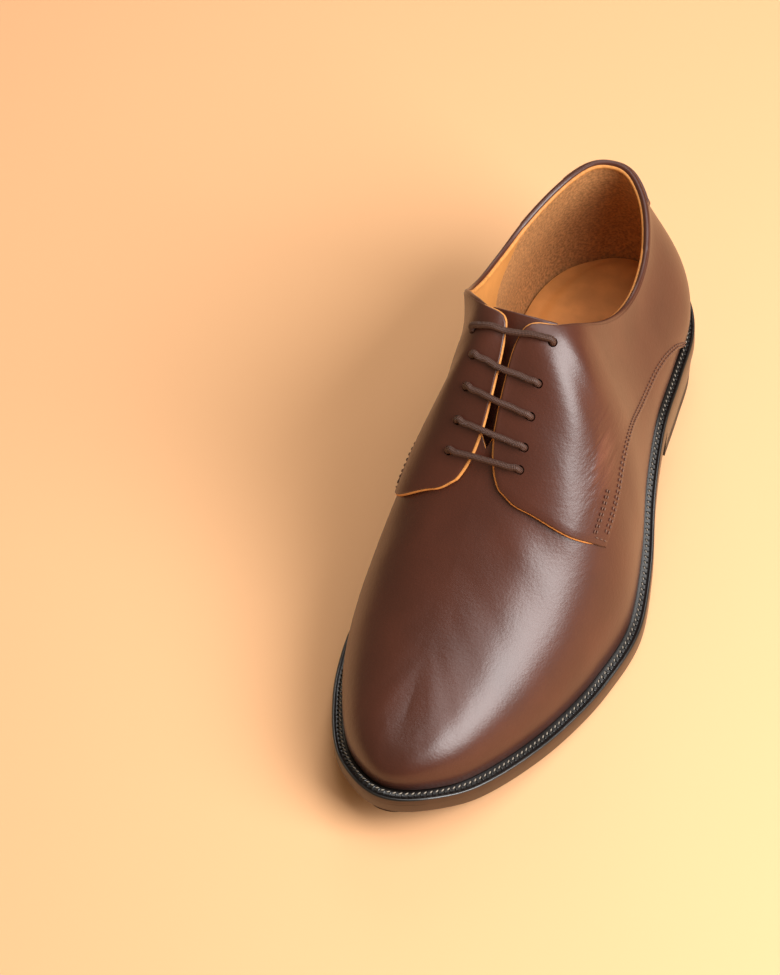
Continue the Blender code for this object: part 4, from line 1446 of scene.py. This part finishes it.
def add_lights():
    bpy.context.scene.view_settings.view_transform = "Standard"
    world = bpy.data.worlds.new("studio air")
    bpy.context.scene.world = world
    world.use_nodes = True
    background = world.node_tree.nodes["Background"]
    background.inputs["Color"].default_value = srgb("#FFE2BE")
    background.inputs["Strength"].default_value = 0.28
    lamps = (
        # name, place, size, watts
        ("window", (0.85, -0.25, 0.78), 0.75, 21.0),
        ("sky", (0.15, 0.10, 1.25), 0.80, 6.0),
        ("back", (-0.35, 1.10, 0.85), 0.6, 3.2),
    )
    for name, place, width, watts in lamps:
        data = bpy.data.lights.new(name, "AREA")
        data.shape = "SQUARE"
        data.size = width
        data.energy = watts
        lamp = bpy.data.objects.new(name, data)
        lamp.location = place
        aim = Vector((0.0, -0.1, 0.04)) - Vector(place)
        lamp.rotation_euler = aim.to_track_quat("-Z", "Y").to_euler()
        bpy.context.scene.collection.objects.link(lamp)


CAMERA = SimpleNamespace(turn=23.1, tilt=51.94, roll=-3.29, distance=1.297, focal_px=3334.0)
FRAME_PX = (780, 975)
TARGET_PX = (518.2, 489.2)


def add_camera():
    """Camera at the photograph's angle, turned so that the shoe stands where it does in the frame."""
    data = bpy.data.cameras.new("camera")
    data.sensor_fit = "HORIZONTAL"
    data.sensor_width = 36.0
    data.lens = CAMERA.focal_px * data.sensor_width / FRAME_PX[0]
    camera = bpy.data.objects.new("camera", data)
    az, el, roll = (math.radians(a) for a in (CAMERA.turn, CAMERA.tilt, CAMERA.roll))
    backward = Vector((math.sin(az) * math.cos(el), -math.cos(az) * math.cos(el), math.sin(el)))
    target = Vector((0.0, back_of_heel() - 0.5 * size.length, 0.04))
    right = (-backward).cross(Vector((0, 0, 1))).normalized()
    up = right.cross(-backward)
    right, up = (
        right * math.cos(roll) + up * math.sin(roll),
        up * math.cos(roll) - right * math.sin(roll),
    )
    across = (FRAME_PX[0] / 2 - TARGET_PX[0]) / CAMERA.focal_px
    upward = (TARGET_PX[1] - FRAME_PX[1] / 2) / CAMERA.focal_px
    aim = (-backward + right * across + up * upward).normalized()
    right = (right - aim * right.dot(aim)).normalized()
    up = right.cross(aim)
    turned = Matrix((right, up, -aim)).transposed().to_4x4()
    camera.matrix_world = Matrix.Translation(target + backward * CAMERA.distance) @ turned
    data.clip_end = 20.0
    bpy.context.scene.collection.objects.link(camera)
    bpy.context.scene.camera = camera


class DERBY_OT_stage(bpy.types.Operator):
    """Makes the pale floor, the soft lights and the camera at the photograph's angle"""

    bl_idname = "derby.stage"
    bl_label = "Stage"

    def execute(self, context):
        read_sizes(context)
        add_floor()
        add_lights()
        add_camera()
        return {"FINISHED"}


class DERBY_PT_panel(bpy.types.Panel):
    """Lists the pieces of the shoe in the order in which they are made"""

    bl_label = "Derby shoe"
    bl_space_type = "VIEW_3D"
    bl_region_type = "UI"
    bl_category = "Derby"

    def draw(self, context):
        for name in DerbySizes.__annotations__:
            self.layout.prop(context.scene.derby_sizes, name)
        for name in DerbyColours.__annotations__:
            self.layout.prop(context.scene.derby_colours, name)
        for operator in OPERATORS:
            self.layout.operator(operator.bl_idname)


OPERATORS = (
    DERBY_OT_stage,
    DERBY_OT_sole,
    DERBY_OT_welt,
    DERBY_OT_inside,
    DERBY_OT_upper,
    DERBY_OT_tongue,
    DERBY_OT_collar,
    DERBY_OT_lining_edge,
    DERBY_OT_stitches,
    DERBY_OT_laces,
)
CLASSES = (DerbySizes, DerbyColours, *OPERATORS, DERBY_PT_panel)


def register():
    for cls in CLASSES:
        bpy.utils.register_class(cls)
    bpy.types.Scene.derby_sizes = PointerProperty(type=DerbySizes)
    bpy.types.Scene.derby_colours = PointerProperty(type=DerbyColours)


def unregister():
    del bpy.types.Scene.derby_colours
    del bpy.types.Scene.derby_sizes
    for cls in reversed(CLASSES):
        bpy.utils.unregister_class(cls)


def main():
    register()
    for operator in OPERATORS:
        group, name = operator.bl_idname.split(".")
        getattr(getattr(bpy.ops, group), name)()
    bpy.context.view_layer.update()


if __name__ == "__main__":
    main()
